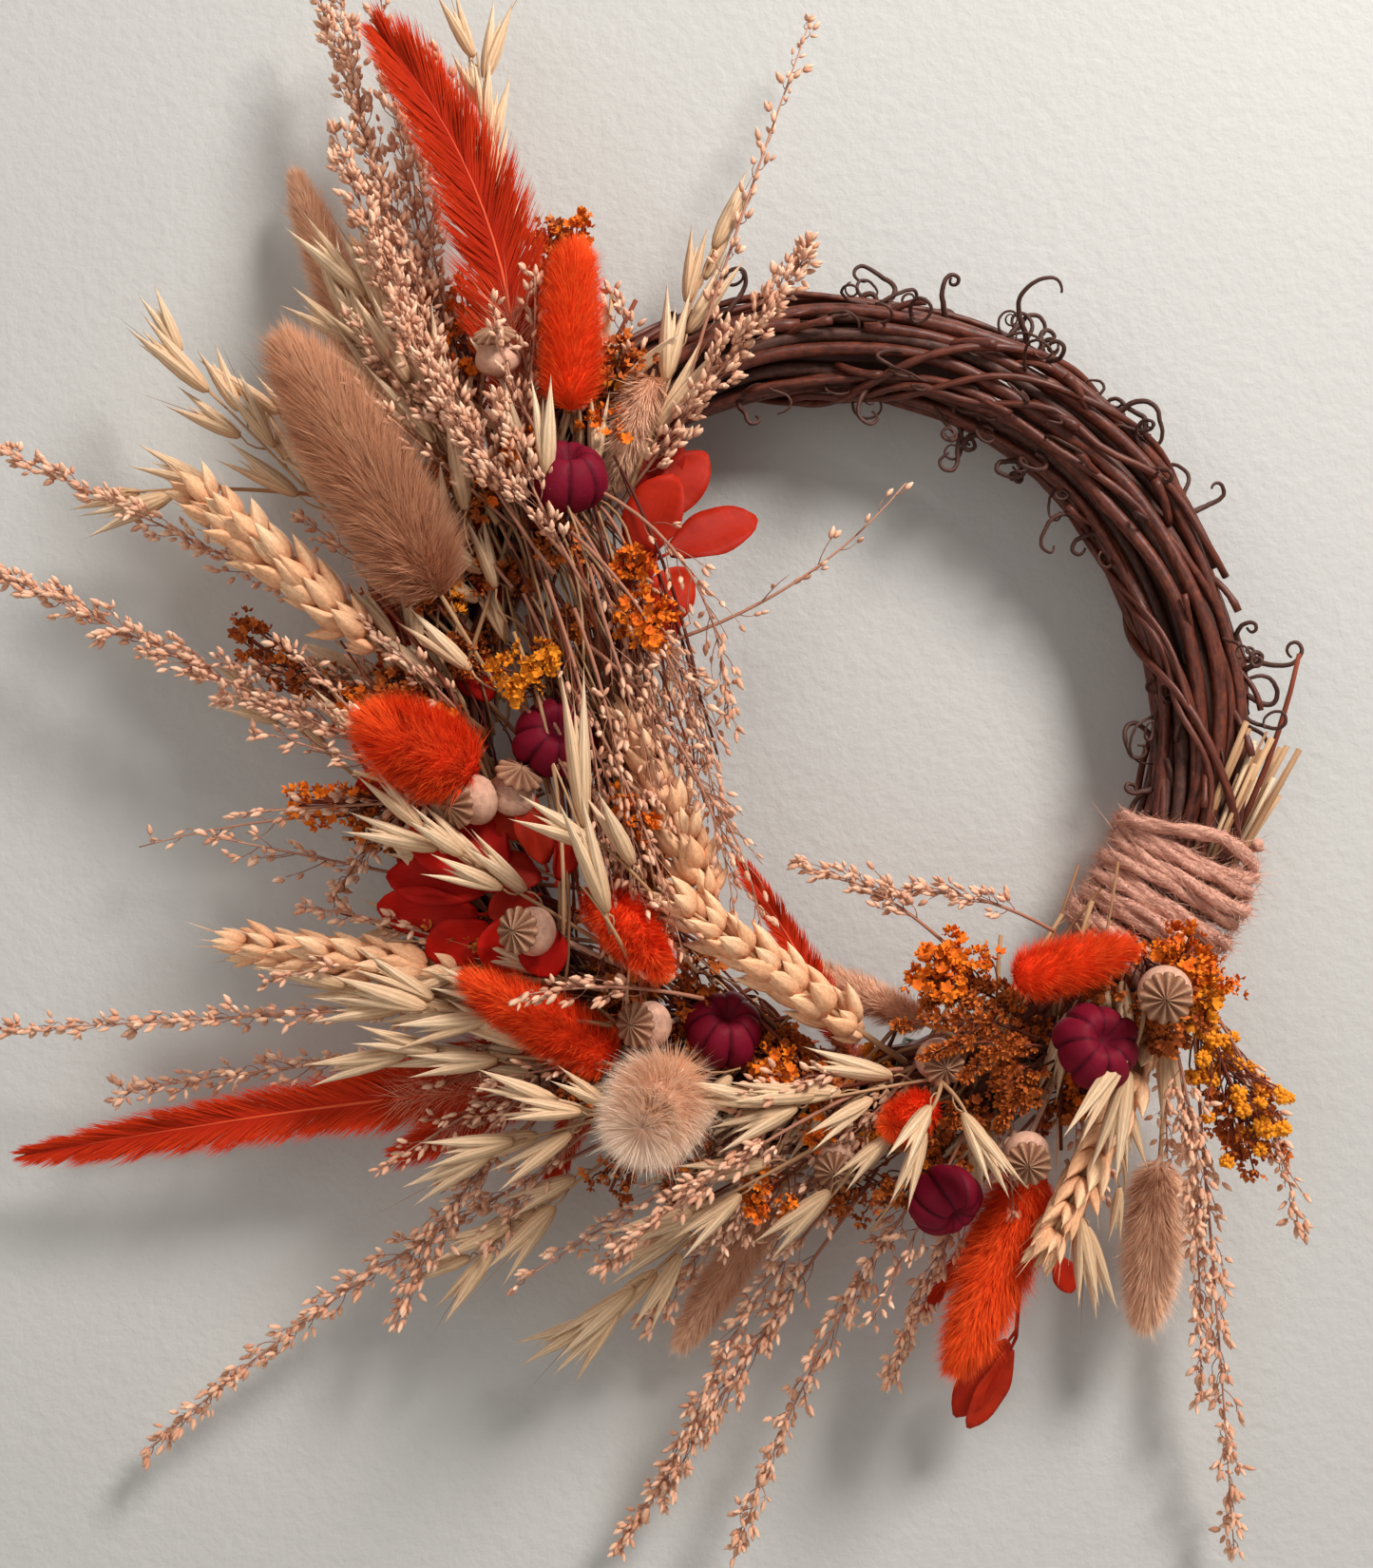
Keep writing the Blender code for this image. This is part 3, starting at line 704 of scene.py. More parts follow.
def make_materials():
    make_plant_pattern()
    make_bark_pattern()
    for name, finish in PLANT_FINISHES.items():
        plant_material(name, *finish)
    bark_material("vine_bark", (0.048, 0.010, 0.006), (0.190, 0.043, 0.020),
                  (0.25, 0.080, 0.042), 0.34)
    # the darker bark: the tendrils' own, and painted shade on the deeper canes
    bark_material("tendril_bark", (0.035, 0.012, 0.008), (0.120, 0.040, 0.024),
                  (0.18, 0.085, 0.055), 0.5)
    wool_material((0.47, 0.185, 0.125, 1.0), (1.0, 0.590, 0.440, 1.0))
    # skin, the painted shade in the grooves and the dimple, and the bloom
    pod_material((0.155, 0.002, 0.014, 1.0), (0.066, 0.001, 0.008, 1.0),
                 (0.22, 0.006, 0.028, 1.0))
    wire_material()


# ---- plants


def outward(ways, turns):
    """For each way, the direction across it at an angle round it."""
    if ways.ndim == 1:
        return outward(ways[None], np.array([turns]))[0]
    side = np.cross(ways, np.broadcast_to(FRONT, ways.shape))
    weak = np.linalg.norm(side, axis=-1) < 0.15
    side[weak] = np.cross(ways[weak], np.array([0.3, 0.0, 1.0]))
    side = unit(side)
    up = np.cross(side, ways)
    return side * np.cos(turns)[:, None] + up * np.sin(turns)[:, None]


def lean_out(way, out, angle):
    """The way turned out by an angle."""
    return unit(way * math.cos(angle) + out * math.sin(angle))


def grow_bunny(growth, line, neck, half_width, hairs, rng, hair_share):
    """A bunny tail head: a soft core under tufts of fine hair that lean to the tip."""
    head = line.length * (1 - neck)
    steps = np.linspace(0, 1, 12)
    outline = np.sqrt(np.clip(1 - np.abs(2 * steps ** 0.72 - 1) ** 2.2, 0.002, 1))
    core = half_width * (0.92 - 0.68 * hair_share)
    towards = abs(float(line.way(0.9) @ FRONT))  # hairs spread on a head seen from its tip
    stations = neck + (1 - neck) * (0.02 + 0.93 * steps)
    growth.stem(line.at(stations), core * outline, 0.6, 0, 10, length=0.15)
    if neck > 0.04:
        stalk = np.linspace(0, neck + 0.03, 6)
        growth.stem(line.at(stalk), 0.7 * MM, 0.4, 1, 6)
    spots = 1 - (1 - rng.random(hairs)) ** (1.05 + 0.5 * towards)
    turns = rng.random(hairs) * TAU
    tufts = max(hairs // 26, 12)
    tuft_spots, tuft_turns = rng.random(tufts), rng.random(tufts) * TAU
    round_trip = TAU * half_width / head
    gaps = (spots[:, None] - tuft_spots[None]) ** 2
    turned = (turns[:, None] - tuft_turns[None] + math.pi) % TAU - math.pi
    tuft = np.argmin(gaps + (turned / TAU * round_trip) ** 2, axis=1)

    def placed(at, turn):
        share = neck + (1 - neck) * (0.02 + 0.93 * at)
        way = line.way(share)
        out = outward(way, turn)
        girth = core * np.interp(at, steps, outline)
        return line.at(share) + out * girth[:, None], way, out

    feet, way, out = placed(spots, turns)
    tuft_feet, tuft_way, tuft_out = placed(tuft_spots, tuft_turns)
    last = 16 + 44 * towards
    lean = np.radians(np.interp(tuft_spots, [0, 0.25, 0.75, 1], [68, 52, 42, last]))
    lean = lean + rng.normal(0, 0.14, tufts)
    reach = half_width * hair_share * 2.0 * (0.8 + 0.4 * rng.random(tufts))
    tips = tuft_feet + reach[:, None] * (
        tuft_way * np.cos(lean)[:, None] + tuft_out * np.sin(lean)[:, None])
    own_lean = np.radians(np.interp(spots, [0, 0.25, 0.75, 1], [66, 50, 40, last]))
    own = way * np.cos(own_lean)[:, None] + out * np.sin(own_lean)[:, None]
    ways = unit(own * 0.6 + unit(tips[tuft] - feet) * 0.4 + rng.normal(0, 0.13, (hairs, 3)))
    lengths = half_width * hair_share * rng.uniform(0.75, 1.25, hairs)
    lengths[rng.random(hairs) < 0.06] *= 1.4
    shades = np.clip(rng.random(tufts)[tuft] * 0.6 + rng.random(hairs) * 0.5, 0, 0.999)
    faces = out + rng.normal(0, 0.25, (hairs, 3))
    growth.copies("hair", feet, ways, faces, lengths, rng.uniform(0.17, 0.28, hairs) * MM,
                  shades, 0, rng.uniform(-0.12, 0.16, hairs))


AWN = 7 * MM
HUSK = 13 * MM  # a wheat husk's length
# Way across, way to the front and lean in degrees of each husk in one row of an ear
HUSKS = ((1.0, 0.15, 46), (0.75, 0.80, 38), (0.75, -0.80, 38), (0.35, 1.0, 27), (0.35, -1.0, 27))
TURN = 2.4  # the angle from one side stalk to the next round a stem


def grow_ear(growth, line, neck, size, rng, turn):
    """A wheat ear: plump husks overlapping in rows down both sides, with short awns."""
    growth.stem(line.at(np.linspace(0, 0.98, 10)), np.linspace(1.1, 0.5, 10) * MM, 0.3, 1, 6)
    head = line.length * (1 - neck)
    count = int(head / (4.5 * MM * size))
    for number in range(count):
        share = number / (count - 1)
        place = neck + (1 - neck) * (0.02 + 0.86 * share)
        way = line.way(place)
        side = outward(way, turn + rng.normal(0, 0.12))
        front = np.cross(side, way)
        sign = 1 if number % 2 else -1
        scale = size * np.interp(share, [0, 0.15, 0.6, 1], [0.70, 1.0, 0.96, 0.70])
        for across, forward, lean in HUSKS:
            out = unit(side * sign * across + front * forward + rng.normal(0, 0.10, 3))
            angle = math.radians(lean * rng.uniform(0.72, 1.28))
            heading = lean_out(way, out, angle)
            foot = line.at(place) + out * 1.3 * MM * scale
            long = HUSK * scale * rng.uniform(0.85, 1.15)
            wide = long * rng.uniform(0.38, 0.50)
            growth.copies("husk", foot, heading, out, long, wide, rng.random(), 0,
                          -0.16, 0.8)
            tip = foot + heading * long * 0.92 - out * long * 0.13
            reach = rng.uniform(0.3, 1.0) * AWN * (0.6 + share)
            growth.copies("hair", tip, heading + way * 0.7, out, reach, 0.5 * MM, 0.1, 0)


def grow_oat(growth, foot, way, long, rng):
    """One oat spikelet: two striped glumes a little open round a slimmer floret."""
    way = unit(way)
    long = long * 1.12
    wide = min(long * 0.17, 4.8 * MM)
    side = unit(np.cross(way, FRONT + rng.normal(0, 0.35, 3)))
    front = np.cross(side, way)
    for sign in (1, -1):
        angle = sign * wide / long * rng.uniform(0.4, 0.75)
        heading = lean_out(way, side, angle)
        growth.copies("glume", foot, heading, side * sign + front * 0.6, long, wide,
                      rng.random(), 0, 0.03, 0.75)
    growth.copies("glume", foot + way * long * 0.06, way, front, long * 0.72, wide * 0.6,
                  rng.random() * 0.5, 0, 0.02)
    if rng.random() < 0.5:
        heading = unit(way + rng.normal(0, 0.12, 3))
        growth.copies("hair", foot + way * long * 0.5, heading, front, long * 0.95,
                      0.3 * MM, 0.8, 1, rng.uniform(-0.1, 0.1))


def grow_oats(growth, line, spread, rng, count, start, long=23.0, end=1.0):
    """An oat spray: a fine stem with spikelets on thin stalks along its outer part."""
    growth.stem(line.at(np.linspace(0, end, 12)), np.linspace(0.75, 0.3, 12) * MM, 0.4, 1, 5)
    for number in range(count):
        share = start + (end - start) * (number + 0.4) / count
        way = line.way(share)
        turn = number * TURN + rng.uniform(-0.5, 0.5)
        out = outward(way, turn) * np.array([1, 0.45, 1])
        angle = math.radians(rng.uniform(10, 26))
        heading = unit(way * math.cos(angle) + unit(out) * math.sin(angle))
        foot = line.at(share)
        reach = spread * rng.uniform(0.5, 1.0) * (1.25 - share)
        hang = foot + heading * reach
        growth.stem(arc(foot, hang, out * 1.2, 4).points, 0.28 * MM, 0.4, 1, 4)
        grow_oat(growth, hang, heading + way * 0.25, long * rng.uniform(0.8, 1.1) * MM, rng)


def grow_panicle(growth, line, spread, rng, branches, start, seeds, size, seed_shade=None,
                 lean=24):
    """A grass panicle: a fine stem, thin side stalks that lean to its tip, and small seeds."""
    growth.stem(line.at(np.linspace(0, 1, 14)), np.linspace(0.62, 0.2, 14) * MM, 0.3)
    feet, ways = [], []
    for number in range(branches):
        share = start + (1 - start) * (number + rng.random() * 0.8) / branches
        way = line.way(share)
        turn = number * TURN + rng.uniform(-0.6, 0.6)
        out = outward(way, turn)
        angle = math.radians(rng.uniform(0.3, 1.5) * lean)
        taper = np.interp(share, [start, 0.5, 1], [0.8, 1.0, 0.35])
        reach = spread * taper * rng.uniform(0.6, 1.9)
        foot = line.at(share)
        heading = lean_out(way, out, angle)
        twig = arc(foot, foot + heading * reach, out * rng.uniform(0, 1.4), 5)
        growth.stem(twig.points, np.linspace(0.2, 0.12, 5) * MM, rng.random(), 0, 3)
        for place in rng.uniform(0.35, 1.0, max(int(seeds * rng.uniform(0.5, 1.3)), 1)):
            stalk = unit(twig.way(place) + rng.normal(0, 0.36, 3))
            base = twig.at(place)
            top = base + stalk * rng.uniform(0.4, 2.4) * MM
            feet.append(top)
            ways.append(stalk)
            growth.copies("hair", base, top - base, FRONT, np.linalg.norm(top - base),
                          0.22 * MM, 0.5, 0)
    feet, ways = np.array(feet), np.array(ways)
    total = len(feet)
    long = size * MM * rng.uniform(0.75, 1.25, total)
    shades = rng.random(total) if seed_shade is None else np.full(total, seed_shade)
    growth.copies("seed", feet, ways, rng.normal(0, 1, (total, 3)), long,
                  long * rng.uniform(0.40, 0.56, total), shades * 0.98, 1)


def grow_feather(growth, line, half_width, rng, fluff=0.3):
    """A feather: a shaft with a vane of fine barbs on each side and down at its foot."""
    stations = np.linspace(0, 1, 16)
    growth.stem(line.at(stations), np.linspace(0.7, 0.12, 16) * MM, 0.3, 2, 6)
    count = int(line.length / (0.11 * MM))
    shares = np.linspace(0.06, 0.995, count)
    ways = line.way(shares)
    flat = unit(np.cross(ways, np.broadcast_to(FRONT, ways.shape)))
    front = np.cross(flat, ways)
    outline = np.clip(shares / 0.18, 0.3, 1) ** 0.5 * (1.02 - shares) ** 0.5
    knots = np.linspace(0, count, count // 30)
    for sign in (1, -1):
        locks = np.interp(np.arange(count), knots, rng.normal(0, 1, len(knots)))
        angle = np.radians(np.interp(shares, [0, 0.5, 1], [46, 32, 10]) + locks * 3)
        angle = angle + rng.normal(0, 0.05, count)
        headings = ways * np.cos(angle)[:, None] + flat * sign * np.sin(angle)[:, None]
        headings = unit(headings + front * (locks * 0.06)[:, None]
                        + front * rng.normal(0, 0.05, (count, 1)))
        lengths = half_width * outline / np.maximum(np.sin(angle), 0.33)
        lengths = lengths * (1 + 0.08 * locks) * rng.uniform(0.72, 1.12, count)
        growth.copies("barb", line.at(shares), headings, front, lengths, 0.42 * MM,
                      np.clip(0.42 + locks * 0.14 + rng.normal(0, 0.14, count), 0, 0.999), 0,
                      0.10 + locks * 0.03 + rng.normal(0, 0.05, count))
    count = 900  # hairs of down at the foot
    shares = rng.random(count) * fluff
    ways = line.way(shares)
    out = outward(ways, rng.random(count) * TAU)
    headings = unit(ways * 0.75 + out * np.array([1.0, 0.5, 1.0]))
    growth.copies("hair", line.at(shares), headings, rng.normal(0, 1, (count, 3)),
                  half_width * rng.uniform(0.5, 1.3, count), 0.22 * MM, rng.random(count), 1,
                  rng.uniform(-0.3, 0.3, count))


def grow_florets(growth, tips, ways, size, rng, each):
    """A tuft of papery florets at each tip."""
    total = len(tips) * each
    feet = np.repeat(tips, each, axis=0) + rng.normal(0, 0.5, (total, 3)) * size
    headings = unit(np.repeat(ways, each, axis=0) + rng.normal(0, 0.75, (total, 3)))
    widths = size * rng.uniform(0.7, 1.3, total)
    growth.copies("floret", feet, headings, rng.normal(0, 1, (total, 3)),
                  widths * rng.uniform(0.5, 0.9, total), widths, rng.random(total) * 0.99)


def grow_cluster(growth, line, half_width, rng, stems, size, each):
    """A spray of small flowers: fine stems that fan from the foot into a tufted head."""
    tips, ways = [], []
    for number in range(stems):
        share = 0.45 + 0.55 * (number + rng.random()) / stems
        way = line.way(min(share, 0.9))
        out = outward(way, number * TURN + rng.uniform(-0.4, 0.4))
        reach = half_width * rng.uniform(0.35, 1.0) * (1.15 - 0.5 * abs(share - 0.7))
        tip = line.at(share) + out * reach
        foot = line.at(max(share - 0.3, 0.0))
        twig = arc(foot, tip, out * 1.5, 5)
        growth.stem(twig.points, 0.26 * MM, rng.random(), 1, 4)
        tips.append(tip)
        ways.append(unit(out + way))
    growth.stem(line.at(np.linspace(0, 1, 6)), 0.5 * MM, 0.3, 1, 5)
    grow_florets(growth, np.array(tips), np.array(ways), size * MM, rng, each)


def grow_spike(growth, line, width, rng, count, size):
    """A goldenrod spike: tiny florets packed along one fine stem."""
    growth.stem(line.at(np.linspace(0, 1, 7)), np.linspace(0.4, 0.15, 7) * MM, 0.4, 1, 4)
    shares = rng.random(count) ** 0.8 * 0.85 + 0.15
    ways = line.way(shares)
    out = outward(ways, rng.random(count) * TAU)
    reach = width * np.interp(shares, [0.1, 0.35, 1], [0.5, 1.0, 0.25]) * rng.uniform(0.3, 1, count)
    feet = line.at(shares) + out * reach[:, None]
    headings = unit(out + ways * 0.7 + rng.normal(0, 0.3, (count, 3)))
    widths = size * MM * rng.uniform(0.7, 1.3, count)
    growth.copies("floret", feet, headings, FRONT, widths, widths, rng.random(count))


def grow_leaf(growth, foot, tip, width, rng, tilt):
    """A leaf on a short stalk, its face towards the viewer but for its tilt."""
    way = tip - foot
    long = np.linalg.norm(way)
    stalk = foot + way * 0.12
    growth.stem([foot, foot + way * 0.07, stalk], [0.6 * MM, 0.5 * MM, 0.45 * MM], 0.3)
    face_way = FRONT + np.array([tilt[0], 0, tilt[1]])
    growth.copies("leaf", stalk, way, face_way, long * 0.9, width * MM, rng.random() * 0.95, 0,
                  -0.12)


def grow_pod(growth, middle, width, facing, rng):
    """A mini pumpkin: a squat sphere of ribs round a dimple, with wrinkled grooves."""
    lobes = 8
    pod = add_primitive(
        bpy.ops.mesh.primitive_uv_sphere_add, segments=lobes * 12, ring_count=40, radius=0.5
    )
    wobble = rng.uniform(0.92, 1.08, lobes)
    depth = {}

    def move(x, y, z):
        turn = (np.arctan2(y, x) / TAU * lobes) % lobes
        lobe = np.floor(turn).astype(int) % lobes
        rib = np.abs(np.sin(math.pi * (turn % 1))) ** 0.42
        level = np.hypot(x, y) * 2
        swell = 1 - 0.13 * (1 - rib) * np.clip(level * 1.4, 0, 1)
        swell = swell * (1 + (wobble[lobe] - 1) * rib * level)
        dimple = np.exp(-(level / 0.34) ** 2)
        flat = z * (0.86 - 0.42 * dimple) * (1 - 0.07 * (1 - rib) * level)
        # the rib profile, low in the grooves and the dimple, where the skin takes the painted shade
        depth["rib"] = np.where(level > 0.04, rib, 0.0) * (1 - 0.6 * dimple)
        return x * swell, y * swell, flat

    shape = Shape(reshape(pod, move))
    points = shape.points
    facing = unit(facing)
    side = unit(np.cross(facing, [0.0, 0.1, 1.0]))
    up = np.cross(side, facing)
    points = np.asarray(middle) + (
        points[:, :1] * side - points[:, 1:2] * up + points[:, 2:] * facing) * width
    spots = points[shape.corners] - middle
    around = np.arctan2(spots @ up, spots @ side) / TAU * 0.9 + 0.5
    maps = np.stack([depth["rib"][shape.corners], np.clip(around, 0, 1)], -1)
    growth.add(points, shape.corners, shape.sizes, maps, 0)
    scar = np.asarray(middle) + facing * width * 0.19
    for number in range(6):
        angle = number * TAU / 6
        out = side * math.cos(angle) + up * math.sin(angle)
        growth.stem([scar, scar + (facing * 0.4 + out) * 0.05 * width], [0.5 * MM, 0.2 * MM],
                    0.3, 1, 5)


def grow_poppy(growth, middle, way, half_width, stalk_foot):
    """A poppy head: a ribbed globe under a scalloped crown with raised rays."""
    way = unit(way)
    side = unit(np.cross(way, [0.21, 0.4, 1.0]))
    up = np.cross(way, side)
    foot = middle - way * half_width
    growth.stem(arc(stalk_foot, foot, count=5).points, 0.8 * MM, 0.5, 0, 6)
    steps = np.linspace(0, 1, 14)
    outline = np.array([0.12, 0.2, 0.5, 0.78, 0.93, 1.0, 1.0, 0.97, 0.9, 0.78, 0.6, 0.45, 0.40, 0.42])
    growth.stem(middle + np.outer(steps * 2 - 1, way) * half_width, outline * half_width, 0.5, 0,
                28, side)
    disc = middle + way * half_width * 0.98
    crown = half_width * 0.98
    rays = 12
    corners = rays * 8
    angle = np.arange(corners) * TAU / corners
    levels = np.abs(np.cos(rays / 2 * angle))
    reach = crown * (0.86 + 0.14 * levels ** 0.5)
    outer = np.outer(np.cos(angle) * reach, side) + np.outer(np.sin(angle) * reach, up)
    rows = np.array([0.05, 0.3, 0.6, 0.85, 1.0, 1.0, 0.5, 0.1])
    lifts = np.array([0.30, 0.22, 0.12, 0.06, 0.02, -0.06, -0.10, -0.12])
    top = np.array([1, 1, 1, 0.8, 0.3, 0, 0, 0])
    points = disc + outer[None] * rows[:, None, None] + way * (
        lifts[:, None] * crown + top[:, None] * levels[None] ** 6 * crown * 0.12)[..., None]
    faces, sizes = tube_faces(len(rows), corners, inward=True)
    shine = np.tile(levels ** 3, len(rows))[faces]
    across = np.clip(np.repeat(rows, corners)[faces], 0, 1)
    maps = np.stack([(3 + 0.1 + 0.8 * across) / SHADES, 0.02 + 0.96 * shine], -1)
    growth.add(points.reshape(-1, 3), faces, sizes, maps, 1)


# ---- settings


class WreathVineSettings(bpy.types.PropertyGroup):
    cane_thickness: FloatProperty(
        name="Cane Thickness", description="Width of the vine canes", default=3.9 * MM,
        min=0.001, unit="LENGTH")
    yarn_thickness: FloatProperty(
        name="Yarn Thickness", description="Width of one turn of yarn", default=3.9 * MM,
        min=0.001, unit="LENGTH")
    yarn_turns: IntProperty(
        name="Yarn Turns", description="How often the yarn goes round the ring", default=12, min=1)


class WreathPlantSettings(bpy.types.PropertyGroup):
    hair_density: FloatProperty(
        name="Hair Density", description="Hairs on each square millimetre of a bunny tail",
        default=2.75, min=0.1)
    seed_size: FloatProperty(
        name="Seed Size", description="Length of a grass seed in millimetres", default=3.3,
        min=0.5)


class WreathStageSettings(bpy.types.PropertyGroup):
    door_colour: FloatVectorProperty(
        name="Door Colour", description="Paint on the door behind the wreath", size=4,
        subtype="COLOR", default=(0.525, 0.512, 0.486, 1.0), min=0.0, max=1.0)
    key_power: FloatProperty(
        name="Key Light", description="Power of the large soft light", default=29.0, min=0.0)


# ---- operators


def named_nodes(start):
    return sorted(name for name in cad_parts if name.startswith(start))


def head_of(node):
    """A CAD plant's line, where its head starts on it and how wide the head is."""
    line = line_of(node)
    return line, line.neck(), float(line.girths.max())


def seeded(name):
    return np.random.default_rng(sum(ord(letter) * (spot + 7) for spot, letter in enumerate(name)))


class WREATH_OT_bunny_tails(bpy.types.Operator):
    """Grow the orange and the natural bunny tail heads"""
    bl_idname = "wreath.bunny_tails"
    bl_label = "Bunny Tails"

    # The largest head is a darker one, and the one that is seen from its tip wears a paler copy of the
    # natural fur: painted light for its hairs seen end-on
    FURS = {"natural_bunny_tail_2": "tan_fur", "natural_bunny_tail_4": "cream_fur"}
    LONG = ("natural_bunny_tail_5", "natural_bunny_tail_1")  # heads that reach further down
    MOST_HAIRS = 24000
    ROUND = "orange_bunny_tail_2"  # a short one that lets the pumpkin beside it be seen
    # Heads behind and between the larger ones: foot, tip and half width
    EXTRA = {
        "orange_bunny_tail_small": ((30, -106, 50), (15, -110, 68), 7.5),
        "natural_bunny_tail_behind": ((-10, -132, 26), (-42, -184, 14), 8.0),
    }

    def execute(self, context):
        density = context.scene.wreath_plants.hair_density
        jobs = []
        for node in named_nodes("orange_bunny") + named_nodes("natural_bunny"):
            line, neck, half_width = head_of(node)
            if node in self.LONG:
                neck *= 0.45
            elif node == self.ROUND:
                neck += 0.17
                half_width *= 0.86
            jobs.append((node, line, neck, half_width, (node,)))
        for name, (foot, tip, half_width) in self.EXTRA.items():
            jobs.append((name, face_arc(foot, tip), 0.1, half_width * MM, ()))
        for name, line, neck, half_width, replaced in jobs:
            rng = seeded(name)
            growth = Growth()
            kind = name.split("_")[0]
            fur = self.FURS.get(name, kind + "_fur")
            area = math.pi * 2 * half_width * line.length * (1 - neck) / MM / MM
            hairs = int(min(area * density, self.MOST_HAIRS))
            share = {"orange_fur": 0.50, "cream_fur": 0.55}.get(fur, 0.60)
            grow_bunny(growth, line, neck, half_width, hairs, rng, share)
            piece_name = name + ("_fur" if replaced else "")
            growth.finish(piece_name, (fur, "straw_stem"), kind + "_bunny", replaced)
        return {"FINISHED"}


class WREATH_OT_ears(bpy.types.Operator):
    """Grow the wheat ears"""
    bl_idname = "wreath.ears"
    bl_label = "Wheat Ears"

    SIZES = (1.2, 1.1, 1.0, 1.1, 0.95)

    def execute(self, context):
        for number, node in enumerate(named_nodes("wheat_ear")):
            rng = seeded(node)
            line, neck, _ = head_of(node)
            growth = Growth()
            grow_ear(growth, line, neck, self.SIZES[number], rng, number * 0.35)
            growth.finish(node + "_husks", ("wheat_husk", "straw_stem"), "ear", (node,))
        growth = Growth()
        line = arc(face(-30, -62, 56), face(-60, 6, 58), (3, 0, 0))
        grow_ear(growth, line, 0.12, 0.95, seeded("behind"), 0.5)
        growth.finish("wheat_ear_behind", ("wheat_husk", "straw_stem"), "ear")
        return {"FINISHED"}


class WREATH_OT_oats(bpy.types.Operator):
    """Grow the oat sprays"""
    bl_idname = "wreath.oats"
    bl_label = "Oat Sprays"

    # Foot, tip, number of spikelets, share of the stem where they start, spikelet length
    EXTRA = (
        (-99, 53, 44, -138, 116, 36, 6, 0.4, 25), (-146, 65, 36, -200, 66, 34, 3, 0.4, 23),
        (-76, 48, 60, -82, 74, 64, 1, 0.1, 24), (-56, 64, 46, -43, 100, 46, 2, 0.2, 24),
        (-51, 88, 34, -31, 140, 30, 4, 0.25, 24), (-60, -58, 66, -75, -12, 76, 1, 0.25, 42),
        (-54, -68, 66, -68, -44, 76, 1, 0.15, 30), (-45, -53, 60, -67, -30, 70, 2, 0.2, 24),
        (-122, -27, 30, -172, 12, 20, 3, 0.3, 20), (-83, -88, 50, -138, -74, 46, 4, 0.3, 24),
        (-46, -114, 50, -78, -104, 62, 3, 0.2, 22), (-19, -127, 40, -66, -174, 30, 6, 0.25, 27),
        (30, -99, 60, 38, -112, 66, 2, 0.1, 22), (30, -99, 60, 24, -110, 66, 2, 0.1, 22),
        (22, -106, 60, 16, -114, 62, 1, 0.1, 19), (7, -121, 56, 0, -132, 54, 1, 0.1, 25),
        (85, -79, 62, 79, -96, 64, 2, 0.15, 29), (66, -122, 50, 72, -144, 46, 2, 0.2, 27),
        (80, -118, 44, 84, -132, 42, 1, 0.2, 18), (-50, -96, 54, -122, -92, 50, 5, 0.3, 25),
        (-40, -104, 54, -96, -120, 50, 5, 0.3, 26), (0, -116, 54, -40, -138, 52, 4, 0.2, 25),
        (-60, -84, 56, -114, -80, 54, 4, 0.3, 24), (-90, 44, 44, -124, 104, 44, 5, 0.3, 26),
        (-92, 56, 40, -132, 124, 40, 5, 0.35, 26), (-100, 20, 40, -158, 92, 36, 5, 0.35, 27),
    )

    def execute(self, context):
        for node in named_nodes("oat_spray"):
            rng = seeded(node)
            line, neck, half_width = head_of(node)
            growth = Growth()
            count = int(line.length * (1 - neck * 0.8) / (9 * MM))
            start = max(neck - 0.1, 0.2)
            grow_oats(growth, line, half_width * 2.0, rng, count, start, end=0.88)
            growth.finish(node + "_husks", ("oat_husk", "straw_stem"), "oats", (node,))
        growth = Growth()
        rng = seeded("more oats")
        for *ends, count, start, long in self.EXTRA:
            line = face_arc(ends[:3], ends[3:], (1, -2, 1))
            grow_oats(growth, line, 9 * MM, rng, count, start, long)
        growth.finish("oat_sprays_between", ("oat_husk", "straw_stem"), "oats")
        return {"FINISHED"}


